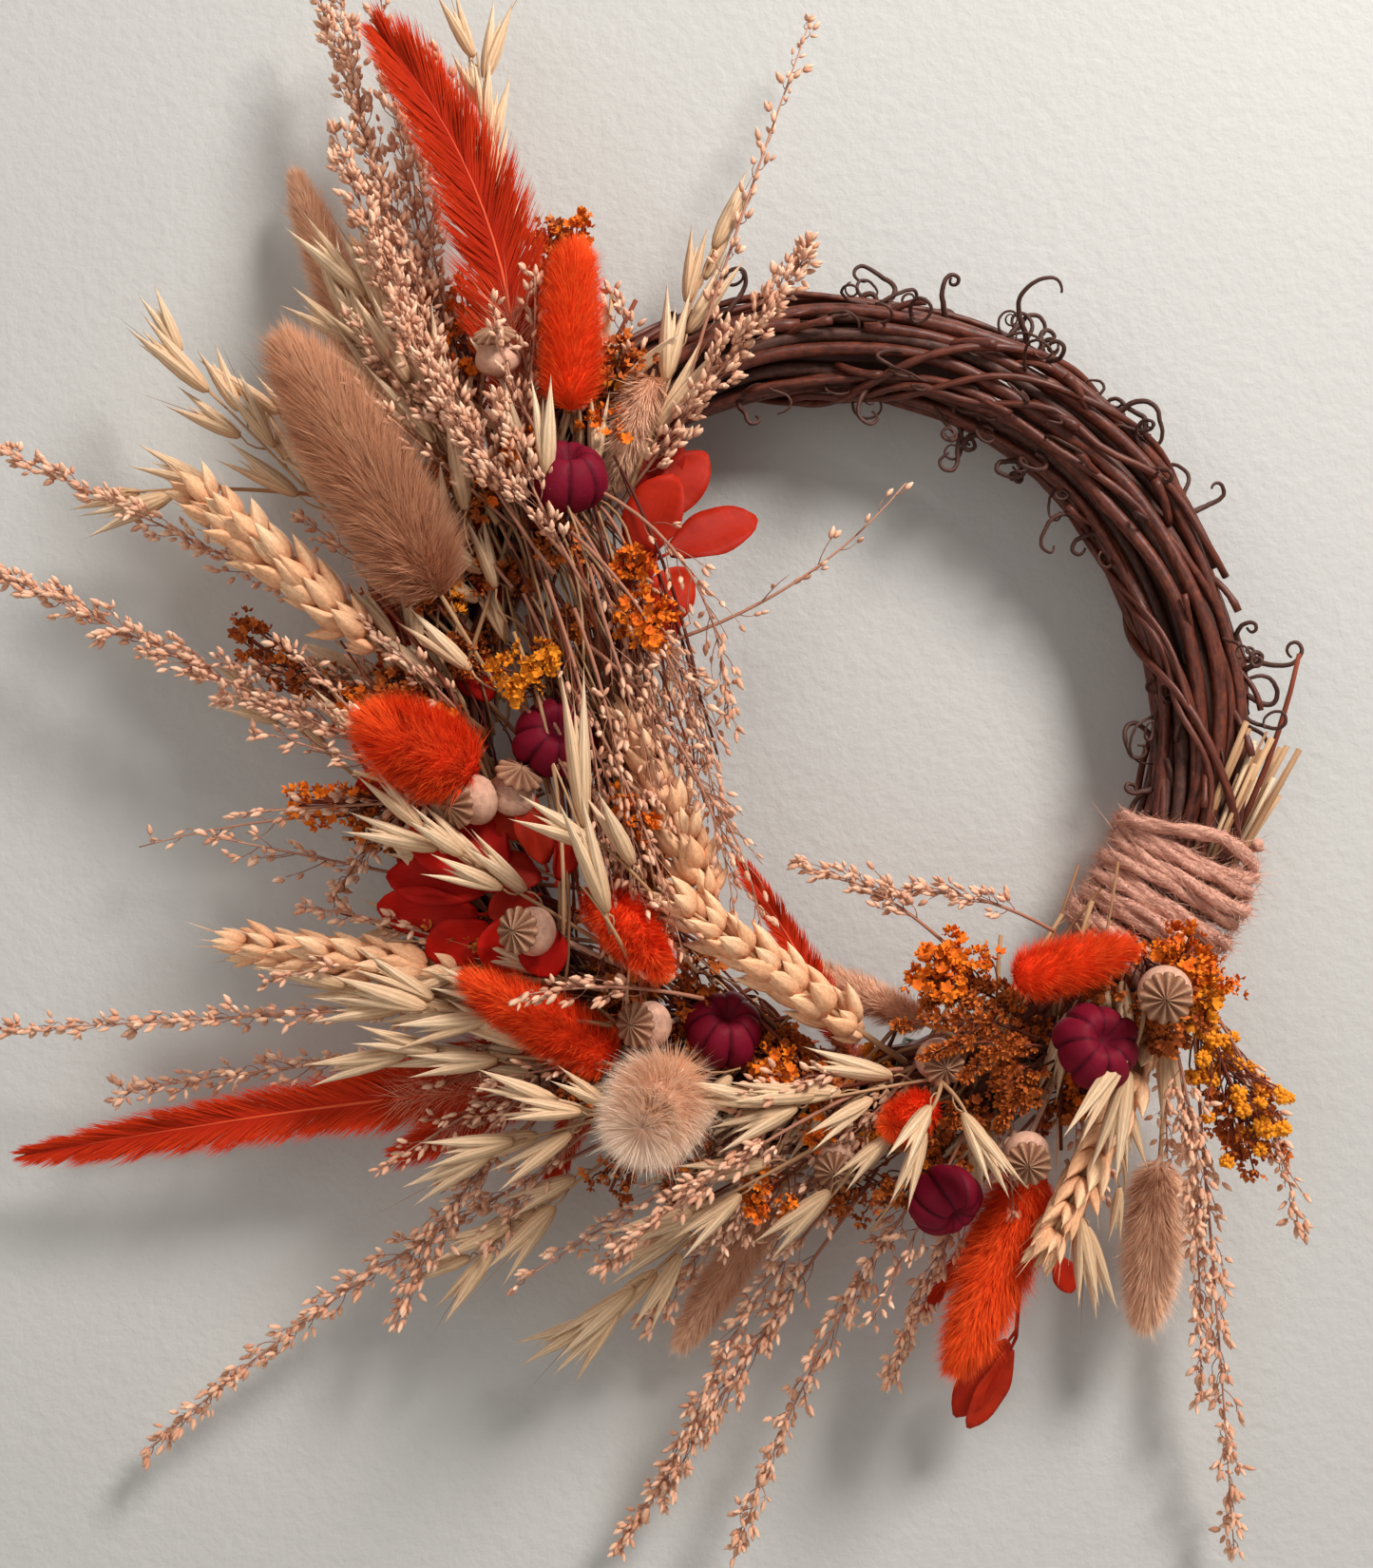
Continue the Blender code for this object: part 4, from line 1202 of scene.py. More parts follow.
class WREATH_OT_panicles(bpy.types.Operator):
    """Grow the grass panicles"""
    bl_idname = "wreath.panicles"
    bl_label = "Grass Panicles"

    MATERIALS = ("panicle_stem", "panicle_seed")
    # Seeds, side stalks and spread of each CAD panicle
    FULLNESS = (
        (7, 60, 9.0), (3, 26, 4.0), (8, 58, 7.0), (6, 50, 6.5), (8, 66, 8.0), (5, 50, 5.0),
        (6, 60, 7.5), (5, 50, 6.0),
    )
    # Thinner ones: foot, tip, bow, seeds, side stalks, spread
    EXTRA = (
        (-89, 54, 36, -128, 212, 30, -6, 0, 0, 6, 56, 8.0),
        (-84, 65, 36, -112, 191, 34, 6, 0, 0, 5, 40, 7.0),
        (-71, 51, 64, -30, -30, 54, 6, -6, 6, 3, 26, 12.0),
        (-66, 41, 66, -42, -32, 58, -2, -6, 4, 3, 24, 12.0),
        (-61, 31, 62, -33, -11, 50, 6, -4, 4, 2, 22, 12.0),
        (-78, 38, 62, -62, -40, 62, 4, -6, 0, 3, 20, 9.0),
        (-74, 60, 60, -44, -20, 60, 4, -4, 6, 3, 30, 9.0),
        (-70, 66, 58, -28, 0, 52, 10, -4, 8, 3, 26, 10.0),
        (-66, 20, 64, -26, -58, 56, 8, -4, 6, 3, 22, 9.0),
        (-72, 10, 64, -40, -66, 62, 2, -4, 6, 2, 22, 9.0),
        (-60, 0, 62, -18, -64, 52, 8, -4, 8, 2, 22, 10.0),
        (-70, 30, 66, -52, -50, 62, 2, -4, 4, 3, 20, 8.0),
        (-88, 48, 42, -138, 205, 36, -6, 0, 0, 6, 60, 8.0),
        (-84, 52, 34, -120, 196, 28, -8, 0, 0, 6, 50, 8.0),
        (-84, 40, 48, -138, 165, 44, -3, 0, 0, 7, 50, 9.0),
        (-80, 46, 52, -128, 140, 50, -3, 0, 0, 6, 40, 8.0),
        (-76, 40, 58, -120, 116, 56, -3, -2, 0, 6, 34, 8.0),
        (-72, 44, 60, -110, 96, 60, -2, -2, 0, 6, 30, 7.0),
        (-66, 34, 62, -90, 86, 64, -2, -2, 0, 5, 26, 7.0),
        (-78, 74, 56, -92, 110, 66, -2, -2, 0, 4, 12, 5.0),
        (-48, 21, 50, 22, 67, 45, 4, 0, -5, 2, 9, 7.0),
        (-108, -27, 36, -200, -36, 20, 0, 0, 4, 2, 12, 5.0),
        (-84, -97, 36, -205, -108, 22, 0, 0, 4, 5, 40, 7.0),
        (-51, -114, 36, -198, -214, 14, -4, 0, 6, 6, 60, 6.0),
        (-72, -104, 44, -122, -171, 30, -6, 0, 4, 5, 34, 9.0),
        (46, -108, 40, -24, -239, 22, -6, 0, 4, 6, 56, 7.0),
        (20, -118, 40, -45, -225, 22, -8, 0, 4, 5, 46, 7.0),
        (8, -118, 40, -51, -174, 24, -4, 0, 4, 6, 36, 7.0),
        (60, -112, 36, 20, -190, 26, -4, 0, 4, 6, 40, 7.0),
        (99, -82, 30, 111, -197, 20, 3, 0, 0, 4, 40, 5.0),
        (105, -75, 40, 134, -144, 40, 4, 0, 2, 4, 26, 7.0),
        (93, -80, 52, 103, -144, 48, 3, 0, 0, 5, 30, 7.0),
        (35, -64, 44, -6, -41, 46, 0, 0, 4, 4, 22, 6.0),
        (64, -59, 44, 18, -48, 42, 0, 0, 4, 4, 24, 6.0),
        (-35, -76, 62, -84, -74, 74, 0, -3, 3, 4, 18, 5.0),
        (7, -102, 60, -60, -147, 66, -3, -4, 3, 7, 30, 7.0),
        (-88, 37, 50, -145, 89, 40, 0, 0, 5, 5, 40, 7.0),
        (20, -96, 56, -30, -104, 64, 0, -3, 2, 5, 22, 6.0),
        (-96, -8, 48, -140, -50, 40, -3, 0, 2, 4, 26, 7.0),
        (-60, -110, 50, -95, -150, 34, -3, 0, 3, 4, 24, 8.0),
    )

    def execute(self, context):
        size = context.scene.wreath_plants.seed_size
        for node, (seeds, branches, spread) in zip(named_nodes("grass_panicle"), self.FULLNESS):
            growth = Growth()
            grow_panicle(growth, line_of(node), spread * MM, seeded(node), branches, 0.22, seeds,
                         size)
            growth.finish(node + "_seeds", self.MATERIALS, "panicle", (node,))
        rng = seeded("more grass")
        half = len(self.EXTRA) // 2
        for name, rows in (("upper", self.EXTRA[:half]), ("lower", self.EXTRA[half:])):
            growth = Growth()
            for *ends, seeds, branches, spread in rows:
                line = face_arc(ends[:3], ends[3:6], ends[6:], 13)
                grow_panicle(growth, line, spread * MM, rng, branches, 0.25, seeds, size)
            growth.finish(f"grass_sprays_{name}", self.MATERIALS, "panicle")
        return {"FINISHED"}


class WREATH_OT_feathers(bpy.types.Operator):
    """Grow the dyed feathers"""
    bl_idname = "wreath.feathers"
    bl_label = "Feathers"

    # Half width and bow of each feather
    VANES = (
        (17.0, (11, 0, 4)), (11.5, (0, 0, 3)), (6.5, (2, 0, 1)),
    )

    def execute(self, context):
        materials = ("feather_barb", "feather_down", "feather_shaft")
        for node, (half_width, bow) in zip(named_nodes("feather"), self.VANES):
            growth = Growth()
            line = bowed(line_of(node), bow)
            grow_feather(growth, line, half_width * MM, seeded(node))
            growth.finish(node + "_vane", materials, "feather", (node,))
        growth = Growth()
        rng = seeded("small feathers")
        for foot, tip, half_width in (
            ((-76, -92, 38), (-136, -106, 32), 12.0), ((62, -128, 26), (30, -172, 20), 5.0),
            ((-74, -98, 36), (-122, -124, 30), 9.0), ((-66, -104, 34), (-78, -132, 30), 6.0),
        ):
            line = face_arc(foot, tip, (-2, 0, -2), 13)
            grow_feather(growth, line, half_width * MM, rng, fluff=0.7)
        growth.finish("feather_tufts", materials, "feather")
        return {"FINISHED"}


class WREATH_OT_leaves(bpy.types.Operator):
    """Grow the preserved leaves"""
    bl_idname = "wreath.leaves"
    bl_label = "Leaves"

    # Foot, tip, width and tilt of each leaf, in millimetres
    SPRIGS = {
        "leaf_sprig_1": ("leaf_red", (
            ((-54, 56, 42), (-42, 82, 44), 12, (0.3, 0.1)),
            ((-52, 54, 44), (-34, 76, 42), 14, (0.4, 0.3)),
            ((-56, 42, 48), (-44, 68, 52), 17, (-0.3, 0.0)),
            ((-48, 46, 42), (-20, 60, 36), 15, (0.2, 0.5)),
            ((-56, 24, 50), (-37, 42, 42), 15, (0.4, -0.2)),
            ((-58, 22, 52), (-40, 30, 46), 13, (0.2, -0.5)),
            ((-60, 34, 46), (-50, 50, 48), 12, (-0.4, -0.2)),
        )),
        "leaf_sprig_2": ("leaf_wine", (
            ((-92, -48, 48), (-124, -42, 44), 15, (-0.3, 0.4)),
            ((-92, -46, 50), (-117, -29, 48), 15, (-0.2, 0.6)),
            ((-94, -54, 48), (-127, -53, 44), 15, (-0.2, -0.2)),
            ((-92, -56, 50), (-112, -66, 48), 15, (-0.3, -0.5)),
            ((-88, -52, 52), (-92, -70, 54), 15, (0.2, -0.5)),
            ((-88, -44, 52), (-103, -24, 52), 14, (0.0, 0.4)),
            ((-84, -54, 54), (-76, -70, 56), 14, (0.3, -0.4)),
        )),
        "leaf_sprig_3": ("leaf_red", (
            ((56, -176, 26), (38, -202, 22), 11, (-0.5, 0.1)),
            ((56, -178, 26), (44, -206, 24), 10, (0.4, 0.1)),
            ((66, -152, 30), (72, -164, 30), 8, (0.2, 0.1)),
        )),
        "orange_leaves": ("leaf_red", (
            ((-80, -34, 50), (-92, -20, 52), 15, (-0.4, 0.3)),
            ((-78, -42, 52), (-84, -22, 54), 12, (0.5, 0.2)),
            ((-78, -44, 50), (-96, -40, 54), 13, (-0.2, 0.5)),
            ((-76, -46, 54), (-70, -30, 54), 9, (0.7, 0.1)),
            ((-80, -48, 50), (-94, -54, 52), 12, (-0.2, -0.2)),
        )),
    }

    def execute(self, context):
        for name, (material, leaves) in self.SPRIGS.items():
            rng = seeded(name)
            growth = Growth()
            for foot, tip, width, tilt in leaves:
                grow_leaf(growth, face(*foot), face(*tip), width, rng, tilt)
                if name == "leaf_sprig_3":
                    stalk = arc(face(62, -108, 34), face(*foot), (0, 4, 0), 7)
                    growth.stem(stalk.points, 0.6 * MM, 0.3)
            replaced = (name,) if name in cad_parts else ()
            piece_name = name + ("_blades" if replaced else "")
            growth.finish(piece_name, (material,), "leaves", replaced)
        return {"FINISHED"}


class WREATH_OT_pods(bpy.types.Operator):
    """Make the mini pumpkins and the poppy heads"""
    bl_idname = "wreath.pods"
    bl_label = "Pods"

    FACINGS = (
        (0.1, -0.75, 1.0), (0.2, -1.0, 0.35), (0.15, -0.9, 0.8), (0.15, -1.0, 0.4),
        (0.5, -0.8, -0.6),
    )
    # Where each poppy head looks, and the small ones that scene pieces add
    LOOKS = (
        (-0.1, -0.7, 1.0), (-0.6, -1.0, 0.1), (-0.2, -1.0, -0.1), (-0.1, -1.0, -0.2),
    )
    EXTRA = (
        ((-98, -22, 56), (-0.9, -1.0, -0.2), 7.0), ((-88, -20, 52), (0.4, -0.7, 0.9), 7.0),
        ((-50, -84, 54), (-0.7, -1.0, 0.1), 6.5), ((2, -123, 46), (-0.1, -1.0, -0.3), 6.0),
        ((30, -94, 52), (0.2, -1.0, -0.2), 6.0),
    )

    def execute(self, context):
        for node, facing in zip(named_nodes("mini_pumpkin"), self.FACINGS):
            low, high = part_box(node)
            growth = Growth()
            width = (high.x - low.x) * 1.03
            middle = np.array((low + high) / 2)
            if node == "mini_pumpkin_2":  # clear of the husks that lie over it
                middle = middle + np.array([2.0, -4.0, 1.0]) * MM
            grow_pod(growth, middle, width, facing, seeded(node))
            growth.finish(node + "_skin", ("pod_skin", "dark_twig"), "pod", (node,))
        materials = ("poppy_skin", "poppy_crown")
        for node, look in zip(named_nodes("poppy_head"), self.LOOKS):
            growth = Growth()
            line, _, half_width = head_of(node)
            half_width *= 0.86
            middle = line.at(1.0) - line.way(0.95) * half_width
            grow_poppy(growth, middle, look, half_width, line.at(0.0))
            growth.finish(node + "_capsule", materials, "poppy", (node,))
        growth = Growth()
        for middle, look, half_width in self.EXTRA:
            spot = face(*middle)
            stalk = spot + np.array([0.008, 0.012, 0.0])
            grow_poppy(growth, spot, look, half_width * MM, stalk)
        growth.finish("poppy_heads_small", materials, "poppy")
        return {"FINISHED"}


class WREATH_OT_flowers(bpy.types.Operator):
    """Grow the statice, goldenrod and button flowers"""
    bl_idname = "wreath.flowers"
    bl_label = "Flowers"

    # Foot, tip, half width, stems, petal material
    CLUSTERS = {
        "orange_flower_tuft": ("orange_petal", (
            ((-56, 18, 54), (-49, 30, 66), 8, 22), ((-56, 36, 54), (-53, 46, 60), 4, 7),
            ((-73, 113, 40), (-72, 143, 40), 6, 14), ((-105, -24, 40), (-152, -22, 40), 6, 16),
            ((50, -80, 50), (30, -66, 50), 9, 22), ((-3, -98, 54), (-19, -98, 58), 6, 12),
            ((-6, -122, 50), (-22, -136, 48), 6, 12), ((-60, -30, 62), (-52, -24, 62), 5, 10),
            ((-83, 53, 50), (-85, 81, 52), 6, 14), ((90, -78, 50), (99, -62, 60), 9, 24),
            ((96, -84, 46), (108, -70, 52), 6, 14), ((40, -76, 54), (24, -68, 56), 7, 18),
        )),
        "yellow_flower_tuft": ("yellow_petal", (
            ((-80, 5, 54), (-84, 17, 62), 9, 20), ((93, -74, 56), (106, -80, 56), 6, 12),
        )),
        "rust_flower_tuft": ("rust_petal", (
            ((-118, -8, 40), (-169, 27, 34), 6, 22), ((-64, 80, 44), (-58, 106, 44), 7, 20),
            ((60, -92, 54), (47, -103, 56), 6, 14), ((107, -86, 44), (125, -125, 36), 8, 26),
            ((-100, -20, 38), (-132, -30, 36), 8, 20), ((-76, 118, 40), (-80, 140, 40), 5, 14),
            ((-84, -98, 44), (-66, -106, 46), 7, 12), ((64, -82, 50), (72, -66, 50), 7, 16),
            ((20, -128, 44), (0, -134, 44), 7, 14),
        )),
    }
    SPIKES = (
        ((58, -88, 54), (18, -84, 60), 3.2), ((60, -92, 54), (24, -92, 62), 2.8),
        ((56, -84, 52), (26, -78, 56), 2.6), ((62, -94, 54), (46, -112, 58), 2.4),
        ((60, -90, 56), (36, -98, 60), 2.6), ((54, -82, 50), (40, -74, 52), 2.4),
    )

    def statice(self, node, petal):
        rng = seeded(node)
        growth = Growth()
        line, _, half_width = head_of(node)
        grow_cluster(growth, line, half_width, rng, 40, 2.9, 7)
        growth.finish(node + "_florets", (petal, "dark_twig"), "flowers", (node,))

    def buttons(self, node):
        """Small round flower heads on fine green-brown stems."""
        rng = seeded(node)
        growth = Growth()
        line, _, half_width = head_of(node)
        for number in range(34):
            share = rng.uniform(0.15, 1.0)
            way = line.way(share)
            out = outward(way, number * TURN)
            tip = line.at(share) + out * half_width * rng.uniform(0.2, 1.1)
            twig = arc(line.at(max(share - 0.35, 0)), tip, out * 2, 5)
            growth.stem(twig.points, 0.3 * MM, rng.random(), 1, 4)
            ball = rng.uniform(1.7, 2.3) * MM
            spots = unit(rng.normal(0, 1, (40, 3)))
            growth.copies("seed", tip + spots * ball * 0.2, spots, FRONT, ball * 1.1,
                          ball * 0.75, rng.random(40) * 0.9)
        growth.finish(node + "_heads", ("yellow_petal", "dark_twig"), "button_flowers", (node,))

    def goldenrod(self, node):
        rng = seeded(node)
        growth = Growth()
        for foot, tip, width in self.SPIKES:
            line = face_arc(foot, tip, (0, -2, 4), 9)
            grow_spike(growth, line, width * MM, rng, 100, 2.2)
        growth.finish(node + "_spikes", ("rust_petal", "dark_twig"), "goldenrod", (node,))

    def execute(self, context):
        self.statice("statice_1", "orange_petal")
        self.statice("statice_2", "rust_petal")
        self.buttons("button_flowers")
        self.goldenrod("goldenrod")
        for name, (petal, rows) in self.CLUSTERS.items():
            rng = seeded(name)
            growth = Growth()
            for foot, tip, half_width, stems in rows:
                line = face_arc(foot, tip)
                grow_cluster(growth, line, half_width * MM, rng, stems, 2.8, 7)
            growth.finish(name, (petal, "dark_twig"), "flowers")
        return {"FINISHED"}


class WREATH_OT_filling(bpy.types.Operator):
    """Fill the dressing between the large heads with stems, husks, seeds and florets"""
    bl_idname = "wreath.filling"
    bl_label = "Filling"

    CLOCKS = (120, 322)  # the part of the ring that is dressed, in degrees
    LOW = (194, 213)  # where the filling stays low behind the wine-red leaves

    def sprig(self, rng, lift, places, turns, sway=0.25, clocks=CLOCKS):
        """A place on the dressed bundle, the way out from the ring there, and the way that a
        stem sweeps: outward, turned clockwise by an angle in degrees."""
        clock = rng.uniform(*clocks)
        rise = rng.uniform(*lift)
        if self.LOW[0] < clock < self.LOW[1]:
            rise = rise * 0.25
        clock = math.radians(clock)
        place = math.radians(rng.uniform(*places))
        foot = on_ring(clock, place, BUNDLE_RADIUS + rise * MM)
        out = np.array([math.cos(clock), 0, math.sin(clock)])
        along = np.array([math.sin(clock), 0, -math.cos(clock)])
        turn = math.radians(rng.uniform(*turns))
        way = out * math.cos(turn) + along * math.sin(turn) + FRONT * rng.uniform(-0.1, sway)
        return foot, out, unit(way)

    def stems(self, rng):
        growth = Growth()
        for _ in range(230):
            foot, out, way = self.sprig(rng, (0, 11), (30, 160), (30, 88), 0.12)
            long = rng.uniform(22, 62) * MM
            line = arc(foot - way * long * 0.4, foot + way * long * 0.6, out * rng.uniform(-4, 2), 6)
            # one stem in three is a dark twig: painted shade that gives the dressing depth
            growth.stem(line.points, rng.uniform(0.3, 0.75) * MM, rng.random(),
                        rng.choice([0, 0, 1]))
        growth.finish("filling_stems", ("straw_stem", "dark_twig"), "straws")

    def grasses(self, rng):
        growth = Growth()
        for _ in range(44):
            foot, out, way = self.sprig(rng, (2, 14), (35, 140), (5, 65))
            tip = foot + way * rng.uniform(34, 66) * MM
            line = arc(foot, tip, out * rng.uniform(-4, 2), 9)
            grow_panicle(growth, line, rng.uniform(4, 8) * MM, rng, 13, 0.2, 4, 3.2)
        growth.finish("filling_grass", ("panicle_stem", "panicle_seed"), "panicle")

    def oats(self, rng):
        growth = Growth()
        for _ in range(64):
            foot, out, way = self.sprig(rng, (3, 16), (40, 140), (5, 75))
            stalk = foot - way * rng.uniform(8, 20) * MM
            growth.stem(arc(stalk, foot, out * 1.5, 4).points, 0.35 * MM, 0.4, 1)
            grow_oat(growth, foot, way, rng.uniform(17, 27) * MM, rng)
        growth.finish("filling_oats", ("oat_husk", "straw_stem"), "oats")

    def flowers(self, rng):
        for kind, total in (("rust", 40), ("orange", 15), ("yellow", 5)):
            growth = Growth()
            for _ in range(total):
                foot, _, way = self.sprig(rng, (2, 12), (35, 145), (0, 70), 0.7)
                tip = foot + way * rng.uniform(9, 18) * MM
                grow_cluster(growth, arc(foot, tip), rng.uniform(4, 7) * MM, rng, 9, 2.7, 6)
            growth.finish(f"filling_{kind}_flowers", (kind + "_petal", "dark_twig"), "flowers")

    def blades(self, rng):
        """Dry slender leaves, curled husks and small red leaves deep in the dressing."""
        growth = Growth()
        for _ in range(60):
            foot, _, way = self.sprig(rng, (0, 9), (35, 150), (0, 80))
            long = rng.uniform(14, 34) * MM
            growth.copies("leaf", foot, way, FRONT + rng.normal(0, 0.5, 3), long,
                          rng.uniform(2.5, 5) * MM, rng.random(), 0, rng.uniform(-0.2, 0.2))
        for _ in range(16):
            foot, _, way = self.sprig(rng, (0, 6), (50, 140), (-10, 80), clocks=(150, 240))
            growth.copies("leaf", foot, way, FRONT + rng.normal(0, 0.4, 3),
                          rng.uniform(13, 20) * MM, rng.uniform(8, 12) * MM, rng.random(),
                          rng.choice([1, 2]), -0.1)
        growth.finish("filling_leaves", ("oat_husk", "leaf_wine", "leaf_red"), "leaves")

    def inner_mass(self, rng):
        """Stems and seeds that hang down inside the left of the ring, in front of the hole."""
        stems, grass = Growth(), Growth()
        for _ in range(120):
            x, z = rng.uniform(-92, -58), rng.uniform(6, 76)
            height = rng.uniform(30, 58)
            run = rng.uniform(0.35, 1.0)
            fall = rng.uniform(70, 118) * run
            tip = face(x + rng.uniform(14, 36) * run, max(z - fall, -92), height + rng.uniform(-4, 6))
            line = arc(face(x, z, height), tip, (rng.uniform(0, 8), -2, rng.uniform(0, 6)), 8)
            # dark twigs among these stems are painted shade deep in the dressing
            stems.stem(line.points, rng.uniform(0.25, 0.6) * MM, rng.random(), rng.choice([0, 1]))
        for _ in range(210):
            x = rng.uniform(-74, -8)
            z = rng.uniform(-106, min(-50, -56 - 0.9 * (x + 45)))
            height = rng.uniform(16, 44)
            run = rng.uniform(6, 24)
            fall = run * rng.uniform(0.6, 1.2)
            tip = face(x + run, max(z - fall, -112), height + rng.uniform(-4, 8))
            line = arc(face(x, z, height), tip, (0, rng.uniform(-3, 1), rng.uniform(-4, 4)), 6)
            # two in three of these stems are dark twigs: painted shade deep in the dressing
            stems.stem(line.points, rng.uniform(0.3, 0.7) * MM, rng.random(),
                       rng.choice([0, 1, 1]))
        for _ in range(22):
            x, z = rng.uniform(-86, -62), rng.uniform(0, 60)
            height = rng.uniform(34, 58)
            tip = face(x + rng.uniform(12, 34), z - rng.uniform(50, 92), height + rng.uniform(-4, 6))
            line = arc(face(x, z, height), tip, (rng.uniform(0, 8), -3, 5), 11)
            # half of these panicles have all their seeds in the darkest band: painted shade
            grow_panicle(grass, line, rng.uniform(5, 9) * MM, rng, 15, 0.25, 2, 3.4,
                         rng.choice([None, 0.9]), 18)
        stems.finish("inner_stems", ("straw_stem", "dark_twig"), "straws")
        grass.finish("inner_grass", ("panicle_stem", "panicle_seed"), "panicle")
        tufts = Growth()
        for _ in range(26):
            x, z = rng.uniform(-86, -56), rng.uniform(-62, 50)
            x = x + 14 * (1 - (z + 62) / 112)
            height = rng.uniform(24, 46)
            foot = face(x, z, height)
            tufts.stem(arc(face(x - 16, z + 14, height - 8), foot, (0, 0, 2), 5).points, 0.35 * MM,
                       0.5, 1, 4)
            tip = foot + unit(rng.normal(0, 0.5, 3) + FRONT) * rng.uniform(7, 12) * MM
            grow_cluster(tufts, arc(foot, tip), rng.uniform(4, 7) * MM, rng, 10, 2.7, 6)
        for _ in range(22):
            x = rng.uniform(-60, 0)
            z = rng.uniform(-102, min(-58, -60 - 0.9 * (x + 45)))
            foot = face(x, z, rng.uniform(24, 42))
            tip = foot + unit(rng.normal(0, 0.5, 3) + FRONT) * rng.uniform(6, 10) * MM
            grow_cluster(tufts, arc(foot, tip), rng.uniform(4, 7) * MM, rng, 9, 2.7, 6)
        tufts.finish("inner_rust_flowers", ("rust_petal", "dark_twig"), "flowers")

    def execute(self, context):
        self.inner_mass(seeded("inner mass"))
        for kind, grow in (("stems", self.stems), ("grass", self.grasses), ("oats", self.oats),
                           ("flowers", self.flowers), ("blades", self.blades)):
            grow(seeded("filling " + kind))
        return {"FINISHED"}


